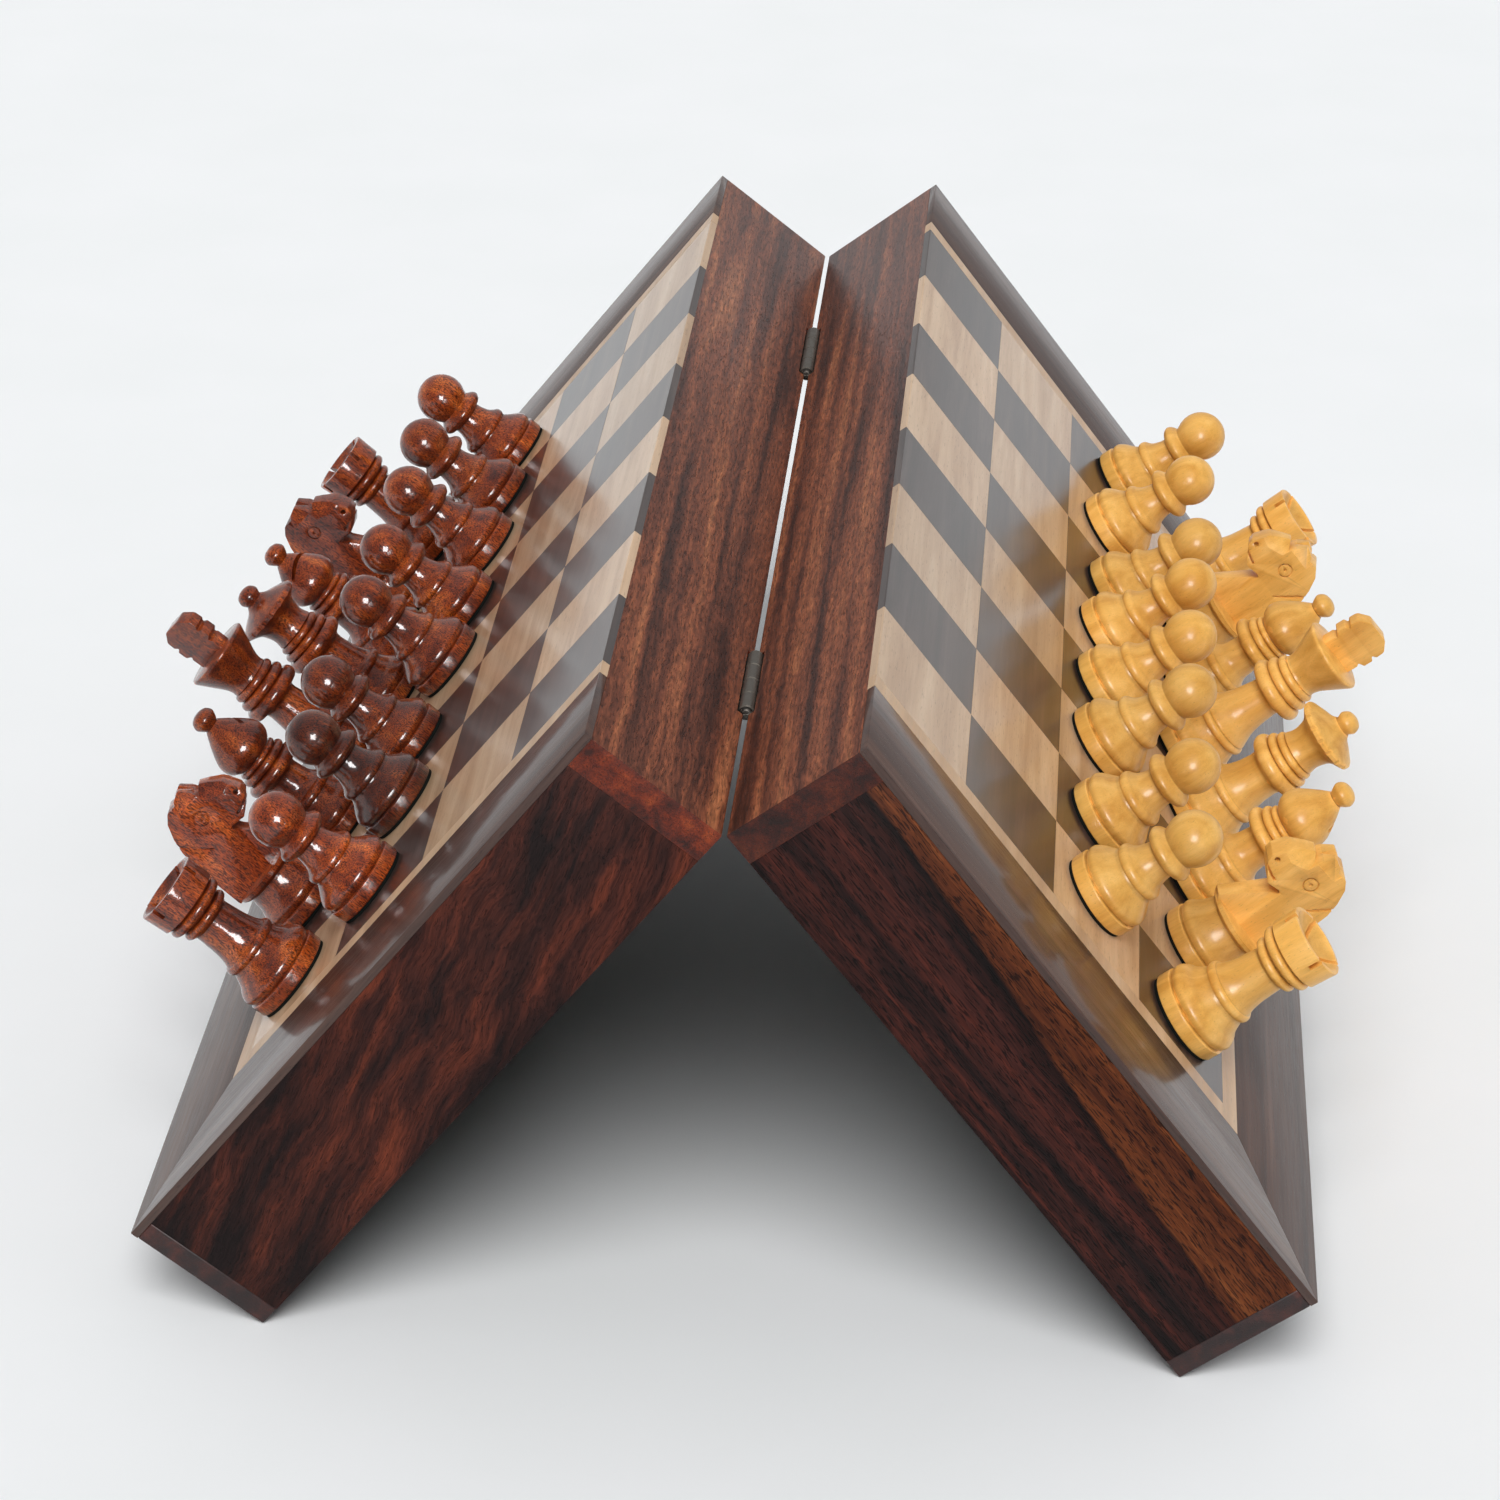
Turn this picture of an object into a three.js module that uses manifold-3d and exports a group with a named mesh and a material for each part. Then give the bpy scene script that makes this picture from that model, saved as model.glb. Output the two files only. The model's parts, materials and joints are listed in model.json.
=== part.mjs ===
// Folding travel chess set: two shallow box halves, hinged at the spine and standing like a tent,
// with the playing squares outside and a full set of turned pieces on them.
// Millimetres, +Z up. The hinge line runs along Y, the dark half leans to -X and the light half to +X.
// Each half is built flat, in its own frame: X runs from the hinge line down the slope, Y along the
// hinge line and Z out of the playing surface. The rim of the open tray is at the bottom of that frame.

import * as THREE from 'three';
import Module from 'manifold-3d';
import { mergeVertices } from 'three/addons/utils/BufferGeometryUtils.js';

// Board
const square = 25;             // side of one playing square
const ranks = 4;               // rows of squares on each half
const files = 8;               // squares along the hinge line
const endBorder = 26;          // squares to the end faces, inlay line included
const outerBorder = 27.5;      // squares to the outer face, inlay line included
const inlayWidth = 4.2;
const veneer = 1.5;            // thickness of squares, inlay line and border
const trayDepth = 28;          // rim to playing surface
const tentAngle = 37.85;       // each half from the vertical, in degrees
const foldGap = 0.2;           // hinge line to the spine face, and to the rim

// Tray
const spineWall = 6.3;
const outerWall = 4;
const endWall = 6;
const panelThickness = 3;
const panelTongue = 2.2;       // how far the base panel reaches into the walls' grooves
const sheetThickness = 0.5;
const liningThickness = 1;
const glueGap = 0.3;           // room for glue or slip between neighbouring pieces
const magnetLength = 12;
const magnetWidth = 2;
const magnetDepth = 3;

// Hinges
const hingeFromEnd = 53;       // end face to the middle of a hinge
const hingeLength = 21;
const knuckles = 4;
const barrelRadius = 1.45;
const boreRadius = 0.85;
const pinRadius = 0.55;
const pinHead = 0.6;
const leafThickness = 0.7;
const leafWidth = 4.6;         // hinge line to the leaf's free edge
const leafInset = 0.1;         // leaf below the rim
const hingePlay = 0.3;         // between moving parts of the hinge, and round the barrel

// Pieces: the foot that they all share, and the sizes of each kind
const bandHeight = 2.8;
const grooveDepth = 0.55;
const domeHeight = 4.5;
const beadHeight = 9.1;
const beadSwell = 0.3;
const lift = 0.3;              // felt above the squares
const rookSlot = 0.9;
const rookSlotDepth = 2.4;
const bishopSlot = 0.9;
const bishopKnob = 2.45;
const queenKnob = 2.3;
const knightThickness = 6.4;
const crossHeight = 9.6;
const crossWidth = 9.4;
const crossNotch = 0.7;
const crossThickness = 3;
const pawnSides = 10;
const pieceSides = 12;
const kinds = {
  pawn: { base: 7.85, waist: 5.1, neck: 3.45, collar: 5.2, head: 4.95, height: 25.1 },
  rook: { base: 8.3, waist: 5.6, neck: 4, collar: 5, head: 6.6, height: 27.6 },
  knight: { base: 8.1, waist: 6.4, neck: 6.2, collar: 7.4, head: 3, height: 32.2 },
  bishop: { base: 8.1, waist: 5.6, neck: 3.8, collar: 6.3, head: 5.7, height: 34.6 },
  queen: { base: 8.3, waist: 6, neck: 4.2, collar: 6.6, head: 7.1, height: 37 },
  king: { base: 8.6, waist: 6.2, neck: 3.85, collar: 6.5, head: 7.1, height: 45.3 },
};

// Where the pieces stand: [kind, file, rank, share of free play along the hinge line, share of free
// play down the slope, turn in degrees]. Free play is the square less the piece's foot.
const pawnRank = 2;
const pieceRank = 3;
const darkMen = [
  ['pawn', 0, pawnRank, 0.22, 0.6, 0], ['pawn', 1, pawnRank, 0.32, 0.27, 0],
  ['pawn', 2, pawnRank, 0.43, 0.6, 0], ['pawn', 3, pawnRank, 0.6, 0.1, 0],
  ['pawn', 4, pawnRank, 0.27, 0.05, 0], ['pawn', 5, pawnRank, 0.32, -0.05, 0],
  ['pawn', 6, pawnRank, 0.32, 0.05, 0], ['pawn', 7, pawnRank, 0, 0, 0],
  ['rook', 0, pieceRank, -0.06, 0.36, 12], ['knight', 1, pieceRank, 0.6, 0.68, -12],
  ['bishop', 2, pieceRank, 0.45, 0.23, 115], ['king', 3, pieceRank, 0.7, 0.45, 22],
  ['queen', 4, pieceRank, -0.3, -0.18, 0], ['bishop', 5, pieceRank, -0.28, 0.06, 200],
  ['knight', 6, pieceRank, 0.45, 0.74, 4], ['rook', 7, pieceRank, 0.24, 0.18, 40],
];
const lightMen = [
  ['pawn', 0, pawnRank, 0.27, -0.1, 0], ['pawn', 1, pawnRank, 0.38, -0.1, 0],
  ['pawn', 2, pawnRank, 0.7, -0.16, 0], ['pawn', 3, pawnRank, 0.48, -0.1, 0],
  ['pawn', 4, pawnRank, 0.27, -0.05, 0], ['pawn', 5, pawnRank, 0, 0.22, 0],
  ['pawn', 6, pawnRank, 0.1, 0, 0], ['pawn', 7, pawnRank, 0.65, 0.48, 0],
  ['rook', 0, pieceRank, -0.24, 0, 5], ['knight', 1, pieceRank, 0, 0.34, 8],
  ['bishop', 2, pieceRank, -0.06, 0.4, 30], ['queen', 3, pieceRank, 0, 0.42, 0],
  ['king', 4, pieceRank, -0.38, 0, 6], ['bishop', 5, pieceRank, -0.06, 0.23, 30],
  ['knight', 6, pieceRank, -0.11, 0.23, -6], ['rook', 7, pieceRank, 0.24, 0.54, 25],
];

// Derived sizes
const halfLength = files * square / 2 + endBorder;
const halfWidth = ranks * square + outerBorder;
const rimZ = foldGap;
const topZ = rimZ + trayDepth;
const wallTopZ = topZ - veneer - glueGap;
const outerX = foldGap + halfWidth;
const sheetTopZ = wallTopZ;
const panelTopZ = sheetTopZ - sheetThickness - glueGap;
const panelFootZ = panelTopZ - panelThickness;
const liningTopZ = panelFootZ - glueGap;
const barrelRoom = barrelRadius + hingePlay;
const radians = THREE.MathUtils.degToRad;

const wasm = await Module();
wasm.setup();

const colours = {
  spine: [0x74402a, 0.45], wall: [0x3b1812, 0.4], border: [0x55423e, 0.35], inlay: [0xd8bf9f, 0.5],
  squares: [0x9c8270, 0.35], panel: [0xb08d62, 0.7], felt: [0x2c3a2c, 0.95],
  darkMen: [0x5e2010, 0.3], lightMen: [0xdcaf62, 0.4],
};
const woods = Object.fromEntries(Object.entries(colours).map(([name, [color, roughness]]) => [
  name, { color, roughness, metalness: 0 },
]));
const steel = { color: 0x34322f, roughness: 0.45, metalness: 0.9 };
const zinc = { color: 0x9a9ca0, roughness: 0.4, metalness: 0.9 };

// ---- solids ----------------------------------------------------------------------------------

function solid(geometry) {
  const bare = geometry.index ? geometry.toNonIndexed() : geometry.clone();
  bare.deleteAttribute('normal');
  bare.deleteAttribute('uv');
  const merged = mergeVertices(bare, 1e-4);
  const mesh = new wasm.Mesh({
    numProp: 3,
    vertProperties: new Float32Array(merged.attributes.position.array),
    triVerts: new Uint32Array(merged.index.array),
  });
  return new wasm.Manifold(mesh);
}

function geometryOf(body) {
  const mesh = body.getMesh();
  const geometry = new THREE.BufferGeometry();
  geometry.setAttribute('position', new THREE.BufferAttribute(mesh.vertProperties, 3));
  geometry.setIndex(new THREE.BufferAttribute(mesh.triVerts, 1));
  const flat = geometry.toNonIndexed();
  flat.computeVertexNormals();
  return flat;
}

function node(name, body, finish) {
  const geometry = body.isBufferGeometry ? body : geometryOf(body);
  const mesh = new THREE.Mesh(geometry, new THREE.MeshStandardMaterial(finish));
  mesh.name = name;
  return mesh;
}

// A box between two corners
function block([x0, y0, z0], [x1, y1, z1]) {
  const box = new THREE.BoxGeometry(x1 - x0, y1 - y0, z1 - z0);
  return box.translate((x0 + x1) / 2, (y0 + y1) / 2, (z0 + z1) / 2);
}

// A cylinder about the hinge line
function rod(radius, y0, y1, sides) {
  return new THREE.CylinderGeometry(radius, radius, y1 - y0, sides).translate(0, (y0 + y1) / 2, 0);
}

// A body turned about Z from radius and height pairs that start and end on the axis
function turned(points, sides) {
  const profile = points.map(([r, z]) => new THREE.Vector2(r, z));
  return new THREE.LatheGeometry(profile, sides).rotateX(Math.PI / 2);
}

// A plate cut to an outline in the XZ plane and centred on Y = 0
function plate(points, thickness) {
  const outline = new THREE.Shape(points.map(([x, z]) => new THREE.Vector2(x, z)));
  const cut = new THREE.ExtrudeGeometry(outline, { depth: thickness, bevelEnabled: false });
  return cut.rotateX(Math.PI / 2).translate(0, thickness / 2, 0);
}

// ---- tray ------------------------------------------------------------------------------------

const hingeMiddles = [-1, 1].map((end) => end * (halfLength - hingeFromEnd));

// Groove that holds the base panel, cut all round the inside of the walls
function panelGroove() {
  const reach = panelTongue + glueGap;
  const low = [foldGap + spineWall - reach, -(halfLength - endWall + reach), panelFootZ - glueGap];
  const high = [outerX - outerWall + reach, halfLength - endWall + reach, panelTopZ + glueGap];
  return solid(block(low, high));
}

// Room for the barrel along the wall's lower edge, and for the leaf let into the rim
function hingeSeat(middle) {
  const y0 = middle - hingeLength / 2 - pinHead - hingePlay;
  const y1 = middle + hingeLength / 2 + pinHead + hingePlay;
  const barrelSeat = solid(rod(barrelRoom, y0, y1, 24));
  const depth = rimZ + leafInset + leafThickness + glueGap;
  const leafSeat = solid(block([0, y0, 0], [leafWidth + glueGap, y1, depth]));
  return barrelSeat.add(leafSeat);
}

function spineWallBody() {
  const wall = block([foldGap, -halfLength, rimZ], [foldGap + spineWall, halfLength, wallTopZ]);
  return hingeMiddles.reduce(
    (body, middle) => body.subtract(hingeSeat(middle)),
    solid(wall).subtract(panelGroove()),
  );
}

function magnetBox(clearance) {
  const x = outerX - outerWall / 2;
  const w = magnetWidth / 2 + clearance;
  const l = magnetLength / 2 + clearance;
  return block([x - w, -l, rimZ - clearance], [x + w, l, rimZ + magnetDepth + clearance]);
}

function outerWallBody() {
  const wall = block([outerX - outerWall, -halfLength, rimZ], [outerX, halfLength, wallTopZ]);
  return solid(wall).subtract(panelGroove()).subtract(solid(magnetBox(glueGap)));
}

function endWallBody(end) {
  const x0 = foldGap + spineWall + glueGap;
  const x1 = outerX - outerWall - glueGap;
  const y = [end * (halfLength - endWall), end * halfLength].sort((a, b) => a - b);
  return solid(block([x0, y[0], rimZ], [x1, y[1], wallTopZ])).subtract(panelGroove());
}

function basePanelBody() {
  const x0 = foldGap + spineWall - panelTongue;
  const x1 = outerX - outerWall + panelTongue;
  const y = halfLength - endWall + panelTongue;
  return block([x0, -y, panelFootZ], [x1, y, panelTopZ]);
}

// A sheet that fills the tray's inside between two heights
function innerSheet(z0, z1) {
  const x0 = foldGap + spineWall + glueGap;
  const x1 = outerX - outerWall - glueGap;
  const y = halfLength - endWall - glueGap;
  return block([x0, -y, z0], [x1, y, z1]);
}

// ---- playing surface ---------------------------------------------------------------------------

const gridX = foldGap + ranks * square;
const gridY = files * square / 2;

function squaresBody() {
  const slack = glueGap / 2;
  return block([foldGap, -gridY + slack, topZ - veneer], [gridX - slack, gridY - slack, topZ]);
}

// A U-shaped strip round three sides of the squares, open at the spine
function strip(innerX, outerEdgeX, innerY, outerEdgeY) {
  const outline = new THREE.Shape([
    new THREE.Vector2(foldGap, -outerEdgeY), new THREE.Vector2(outerEdgeX, -outerEdgeY),
    new THREE.Vector2(outerEdgeX, outerEdgeY), new THREE.Vector2(foldGap, outerEdgeY),
    new THREE.Vector2(foldGap, innerY), new THREE.Vector2(innerX, innerY),
    new THREE.Vector2(innerX, -innerY), new THREE.Vector2(foldGap, -innerY),
  ]);
  return new THREE.ExtrudeGeometry(outline, { depth: veneer, bevelEnabled: false })
    .translate(0, 0, topZ - veneer);
}

function inlayBody() {
  const slack = glueGap / 2;
  const far = inlayWidth - slack;
  return strip(gridX + slack, gridX + far, gridY + slack, gridY + far);
}

function borderBody() {
  const near = inlayWidth + glueGap / 2;
  return strip(gridX + near, outerX, gridY + near, halfLength);
}

function halfBox(side) {
  const half = new THREE.Group();
  half.add(
    node(`${side}_spine_wall`, spineWallBody(), woods.spine),
    node(`${side}_outer_wall`, outerWallBody(), woods.wall),
    node(`${side}_near_end_wall`, endWallBody(side === 'left' ? 1 : -1), woods.wall),
    node(`${side}_far_end_wall`, endWallBody(side === 'left' ? -1 : 1), woods.wall),
    node(`${side}_base_panel`, basePanelBody(), woods.panel),
    node(`${side}_steel_sheet`, innerSheet(sheetTopZ - sheetThickness, sheetTopZ), zinc),
    node(`${side}_felt_lining`, innerSheet(liningTopZ - liningThickness, liningTopZ), woods.felt),
    node(`${side}_closure_magnet`, magnetBox(0), zinc),
    node(`${side}_squares`, squaresBody(), woods.squares),
    node(`${side}_inlay_line`, inlayBody(), woods.inlay),
    node(`${side}_border`, borderBody(), woods.border),
  );
  return half;
}

// ---- hinges --------------------------------------------------------------------------------------

// One leaf with every other knuckle, in the frame of its own half. The two halves face opposite ways,
// so the knuckles of one fill the gaps of the other.
function leafBody(middle) {
  const start = middle - hingeLength / 2;
  const pitch = hingeLength / knuckles;
  const z0 = rimZ + leafInset;
  const z1 = z0 + leafThickness;
  let body = solid(block([barrelRoom, start, z0], [leafWidth, start + hingeLength, z1]));
  for (let k = 0; k < knuckles; k += 2) {
    const y0 = start + k * pitch + hingePlay / 2;
    const y1 = start + (k + 1) * pitch - hingePlay / 2;
    const web = block([0, y0, z0], [barrelRoom + hingePlay, y1, z1]);
    body = body.add(solid(rod(barrelRadius, y0, y1, 12))).add(solid(web));
  }
  const bore = rod(boreRadius, start - 1, start + hingeLength + 1, 12);
  return body.subtract(solid(bore));
}

function pinBody(middle) {
  const y0 = middle - hingeLength / 2;
  const y1 = middle + hingeLength / 2;
  const head = barrelRadius * 0.85;
  const rounded = head * 0.55;
  const points = [
    [0, y0 - pinHead], [rounded, y0 - pinHead], [head, y0 - pinHead / 2], [head, y0 - hingePlay / 2],
    [pinRadius, y0 - hingePlay / 2], [pinRadius, y1 + hingePlay / 2], [head, y1 + hingePlay / 2],
    [head, y1 + pinHead / 2], [rounded, y1 + pinHead], [0, y1 + pinHead],
  ];
  const profile = points.map(([r, y]) => new THREE.Vector2(r, y));
  return new THREE.LatheGeometry(profile, 12);
}

// ---- pieces --------------------------------------------------------------------------------------
// Profiles are radius and height pairs from the middle of the foot up. Heights above the foot are
// shares of the piece's own height, so that a taller or shorter piece keeps its form.

// The felted foot up to the bead, the same on every kind
function foot(k) {
  return [
    [0, 0], [k.base, 0], [k.base, bandHeight],
    [k.base - grooveDepth, bandHeight + grooveDepth / 2], [k.base - 0.1, domeHeight],
    [k.base - 1, domeHeight + 2], [k.waist, beadHeight - 1.2], [k.waist + beadSwell, beadHeight],
  ];
}

// Three rings under the head of the tall pieces, each smaller than the one below
function tripleCollar(k, z) {
  return [
    [k.neck, z], [k.collar, z + 1.4], [k.collar - 0.7, z + 3], [k.collar - 1.5, z + 5.2],
    [k.neck, z + 6.2],
  ];
}

// The small rounded knob at the very top, its widest place at radius r
function finial(k, r) {
  return [[r - 0.4, k.height - 3.2], [r, k.height - 1.7], [r - 0.9, k.height - 0.2], [0, k.height]];
}

const pieceBodies = {
  pawn(k) {
    const h = k.height;
    const centre = h - k.head;
    const arc = [-50, -15, 20, 55].map((turn) => [
      k.head * Math.cos(radians(turn)), centre + k.head * Math.sin(radians(turn)),
    ]);
    const shaft = [[k.neck + 0.5, h * 0.44], [k.neck, h * 0.53]];
    const collar = [[k.collar, h * 0.6], [k.neck, h * 0.66]];
    return solid(turned([...foot(k), ...shaft, ...collar, ...arc, [0, h]], pawnSides));
  },
  rook(k) {
    const h = k.height;
    const floor = h - rookSlotDepth;
    const cup = turned([
      ...foot(k), [k.neck + 0.6, h * 0.42], [k.neck, h * 0.54], [k.neck, h * 0.66],
      [k.collar, h * 0.73], [k.head - 0.3, h * 0.79], [k.head - 0.15, h * 0.83], [k.head, h],
      [k.head - 0.9, h], [k.head - 1.6, floor], [0, floor],
    ], pieceSides);
    const reach = k.head + 1;
    const half = rookSlot / 2;
    const across = block([-reach, -half, floor + 0.2], [reach, half, h + 1]);
    const along = block([-half, -reach, floor + 0.2], [half, reach, h + 1]);
    return solid(cup).subtract(solid(across)).subtract(solid(along));
  },
  knight(k) {
    const h = k.height;
    const disc = beadHeight + 0.9;
    const base = turned([
      ...foot(k).slice(0, -1), [k.collar, disc], [k.collar, disc + 1], [0, disc + 3],
    ], pieceSides);
    const chest = [[-k.collar, disc], [k.collar - 0.2, disc], [k.collar + 0.2, disc + 1.2]];
    const throat = [[1.7, h * 0.627], [2.3, h * 0.645], [5.3, h * 0.624], [7, h * 0.668]];
    const face = [[8.6, h * 0.714], [8.3, h * 0.776], [7.6, h * 0.845], [4.4, h * 0.935]];
    const ear = [[2.8, h * 0.925], [1.2, h], [-0.6, h * 0.972], [-2.6, h * 0.978]];
    const crest = [[-4.6, h * 0.929], [-6.3, h * 0.839], [-7.4, h * 0.73], [-7.7, h * 0.56]];
    const head = plate([...chest, ...throat, ...face, ...ear, ...crest].reverse(), knightThickness);
    return solid(base).add(solid(head)).rotate([0, 0, 180]);
  },
  bishop(k) {
    const h = k.height;
    const body = turned([
      ...foot(k), [k.neck + 0.5, h * 0.32], ...tripleCollar(k, h * 0.457), [k.head, h * 0.7],
      [k.head - 0.7, h * 0.766], [1.6, h - 4.2], ...finial(k, bishopKnob),
    ], pieceSides);
    const cut = block([0.5, -k.head, -bishopSlot / 2], [k.head + 1, k.head, bishopSlot / 2])
      .rotateY(radians(-50)).translate(0.6, 0, h * 0.74);
    return solid(body).subtract(solid(cut));
  },
  queen(k) {
    const h = k.height;
    return solid(turned([
      ...foot(k), [k.neck + 1, h * 0.3], [k.neck, h * 0.43], ...tripleCollar(k, h * 0.495),
      [k.neck + 0.6, h * 0.762], [k.head, h * 0.813], [k.head, h * 0.835], [3.2, h * 0.895],
      ...finial(k, queenKnob),
    ], pieceSides));
  },
  king(k) {
    const h = k.height;
    const cup = h - crossHeight;
    const body = turned([
      ...foot(k), [k.neck + 1, h * 0.3], [k.neck, h * 0.42], ...tripleCollar(k, h * 0.464),
      [k.neck + 0.4, h * 0.614], [k.head, cup - 0.5], [k.head - 0.3, cup], [0, cup + 1],
    ], pieceSides);
    const wide = crossWidth / 2;
    const notch = wide - crossNotch;
    const side = [
      [notch, 0], [wide - 0.2, 0.9], [wide - 0.4, 1.9], [notch, 2.3], [wide, 2.8], [wide, 4.8],
      [notch, 5.2], [wide - 0.2, 5.7], [wide - 0.3, 7.4], [wide / 2, crossHeight - 0.7],
    ];
    const mirrored = side.map(([x, z]) => [-x, z]).reverse();
    const outline = [...side, [0, crossHeight], ...mirrored];
    const cross = plate(outline.map(([x, z]) => [x, z + cup]), crossThickness);
    return solid(body).add(solid(cross));
  },
};

// One man on its square, in the frame of its half. End +1 puts file 0 at the +Y end.
function man(name, [kind, file, rank, playY, playX, turn], end, finish) {
  const k = kinds[kind];
  const play = square - 2 * k.base;
  const mesh = node(name, pieceBodies[kind](k), finish);
  const y = (file + 0.5) * square + playY * play - gridY;
  mesh.position.set(foldGap + (rank + 0.5) * square + playX * play, -end * y, topZ + lift);
  mesh.rotation.z = -end * radians(turn);
  return mesh;
}

function army(colour, men, end, finish) {
  const group = new THREE.Group();
  const counts = {};
  for (const each of men) {
    const kind = each[0];
    counts[kind] = (counts[kind] ?? 0) + 1;
    const single = kind === 'king' || kind === 'queen';
    const name = single ? `${colour}_${kind}` : `${colour}_${kind}_${counts[kind]}`;
    group.add(man(name, each, end, finish));
  }
  return group;
}

// ---- assembly ------------------------------------------------------------------------------------

const left = halfBox('left');
left.add(army('dark', darkMen, 1, woods.darkMen));
const right = halfBox('right');
right.add(army('light', lightMen, -1, woods.lightMen));

hingeMiddles.forEach((middle, index) => {
  const name = index === 0 ? 'near_hinge' : 'far_hinge';
  left.add(node(`${name}_left_leaf`, leafBody(-middle), steel));
  left.add(node(`${name}_pin`, pinBody(-middle), steel));
  right.add(node(`${name}_right_leaf`, leafBody(middle), steel));
});

// A half leans by the tent angle: its slope runs down and outwards
right.rotation.y = Math.PI / 2 - radians(tentAngle);
left.rotation.y = Math.PI / 2 - radians(tentAngle);
const turnedLeft = new THREE.Group();
turnedLeft.add(left);
turnedLeft.rotation.z = Math.PI;

const chessSet = new THREE.Group();
chessSet.add(turnedLeft, right);

// The origin is under the middle of the whole set, on the surface that it stands on
const box = new THREE.Box3().setFromObject(chessSet, true);
const centre = box.getCenter(new THREE.Vector3());
chessSet.position.set(-centre.x, -centre.y, -box.min.z);

export default chessSet;
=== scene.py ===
"""The looks of a folding chess set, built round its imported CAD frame.

Everything stands in metres in the row's frame. The parts of a half are drawn in millimetres in the
flat frame of that half (X down its slope from the hinge line, Y along it, Z out of the playing
surface) and a chess piece in millimetres from the middle of its foot. Both are then put in place.
"""
import json
import math
import random

import bmesh
import bpy
from mathutils import Matrix, Vector

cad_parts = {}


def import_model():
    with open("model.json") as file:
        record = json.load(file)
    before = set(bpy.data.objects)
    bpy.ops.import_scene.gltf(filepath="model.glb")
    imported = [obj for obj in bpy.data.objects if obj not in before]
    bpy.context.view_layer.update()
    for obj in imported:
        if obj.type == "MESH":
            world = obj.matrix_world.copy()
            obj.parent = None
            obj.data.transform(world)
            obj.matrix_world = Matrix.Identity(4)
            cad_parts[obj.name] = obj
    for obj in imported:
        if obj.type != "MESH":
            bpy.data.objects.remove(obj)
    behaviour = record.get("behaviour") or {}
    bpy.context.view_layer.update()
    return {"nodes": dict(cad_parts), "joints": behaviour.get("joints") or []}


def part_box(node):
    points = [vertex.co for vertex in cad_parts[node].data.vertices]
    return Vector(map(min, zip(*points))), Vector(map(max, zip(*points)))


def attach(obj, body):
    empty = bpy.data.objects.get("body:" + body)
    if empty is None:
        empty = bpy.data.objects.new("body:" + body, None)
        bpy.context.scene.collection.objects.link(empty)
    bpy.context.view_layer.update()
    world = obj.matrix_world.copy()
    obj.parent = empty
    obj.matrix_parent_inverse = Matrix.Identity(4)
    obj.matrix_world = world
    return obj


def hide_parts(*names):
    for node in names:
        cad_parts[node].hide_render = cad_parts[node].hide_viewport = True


MM = 0.001
SQUARE = 25.0
RANKS = 4
FILES = 8
SIDES = ("left", "right")

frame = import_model()
joints = {joint["name"]: joint for joint in frame["joints"]}
hinge = Vector(joints["board_hinge"]["pos_m"])


# ---- frames and sizes from the CAD ----

def half_place(side):
    """Where the flat frame of a half lies, with its origin on the hinge line."""
    lift = {"left": "dark_king_lift", "right": "light_king_lift"}[side]
    out = Vector(joints[lift]["axis"]).normalized()
    along = Vector((0, 1, 0)) if side == "right" else Vector((0, -1, 0))
    down = along.cross(out)
    turn = Matrix((down, along, out)).transposed().to_4x4()
    return Matrix.Translation(hinge) @ turn


PLACES = {side: half_place(side) for side in SIDES}


def local_points(node, place):
    """The CAD node's points in millimetres in the frame of that place."""
    back = place.inverted()
    return [back @ vertex.co / MM for vertex in frame["nodes"][node].data.vertices]


def local_box(node, place):
    points = local_points(node, place)
    low = Vector(min(p[i] for p in points) for i in range(3))
    high = Vector(max(p[i] for p in points) for i in range(3))
    return low, high


# ---- meshes ----

def mesh_of(name, points, faces):
    mesh = bpy.data.meshes.new(name)
    mesh.from_pydata([tuple(p) for p in points], [], faces)
    cleaned = bmesh.new()
    cleaned.from_mesh(mesh)
    bmesh.ops.remove_doubles(cleaned, verts=cleaned.verts, dist=1e-5)
    bmesh.ops.recalc_face_normals(cleaned, faces=cleaned.faces)
    cleaned.to_mesh(mesh)
    cleaned.free()
    return mesh


def joined(name, meshes):
    """One mesh of several, each kept as it is."""
    whole = bmesh.new()
    for mesh in meshes:
        whole.from_mesh(mesh)
    mesh = bpy.data.meshes.new(name)
    whole.to_mesh(mesh)
    whole.free()
    return mesh


def moved(mesh, matrix):
    mesh.transform(matrix)
    return mesh


def spun(mesh, degrees):
    """The mesh turned about Z."""
    return moved(mesh, Matrix.Rotation(math.radians(degrees), 4, "Z"))


def lying(mesh):
    """The mesh drawn along Z, turned to lie along Y."""
    return moved(mesh, Matrix.Rotation(-math.pi / 2, 4, "X"))


def with_modifiers(mesh, *modifiers):
    """The mesh after these modifiers, each a kind and its settings."""
    holder = bpy.data.objects.new("holder", mesh)
    bpy.context.scene.collection.objects.link(holder)
    for kind, settings in modifiers:
        modifier = holder.modifiers.new(kind.lower(), kind)
        for key, value in settings.items():
            setattr(modifier, key, value)
    evaluated = holder.evaluated_get(bpy.context.evaluated_depsgraph_get())
    made = bpy.data.meshes.new_from_object(evaluated)
    bpy.data.objects.remove(holder)
    return made


def bevelled(mesh, width, segments=2, angle=35):
    """The mesh with its edges rounded where faces meet at more than that angle."""
    settings = {
        "width": width, "segments": segments, "limit_method": "ANGLE",
        "angle_limit": math.radians(angle), "harden_normals": False,
    }
    return with_modifiers(mesh, ("BEVEL", settings))


def carved(mesh, cutters):
    """The mesh less the cutters."""
    tool = bpy.data.objects.new("cutter", joined("cutter", cutters))
    bpy.context.scene.collection.objects.link(tool)
    settings = {"operation": "DIFFERENCE", "object": tool, "solver": "EXACT", "use_self": True}
    made = with_modifiers(mesh, ("BOOLEAN", settings))
    bpy.data.objects.remove(tool)
    return made


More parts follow.
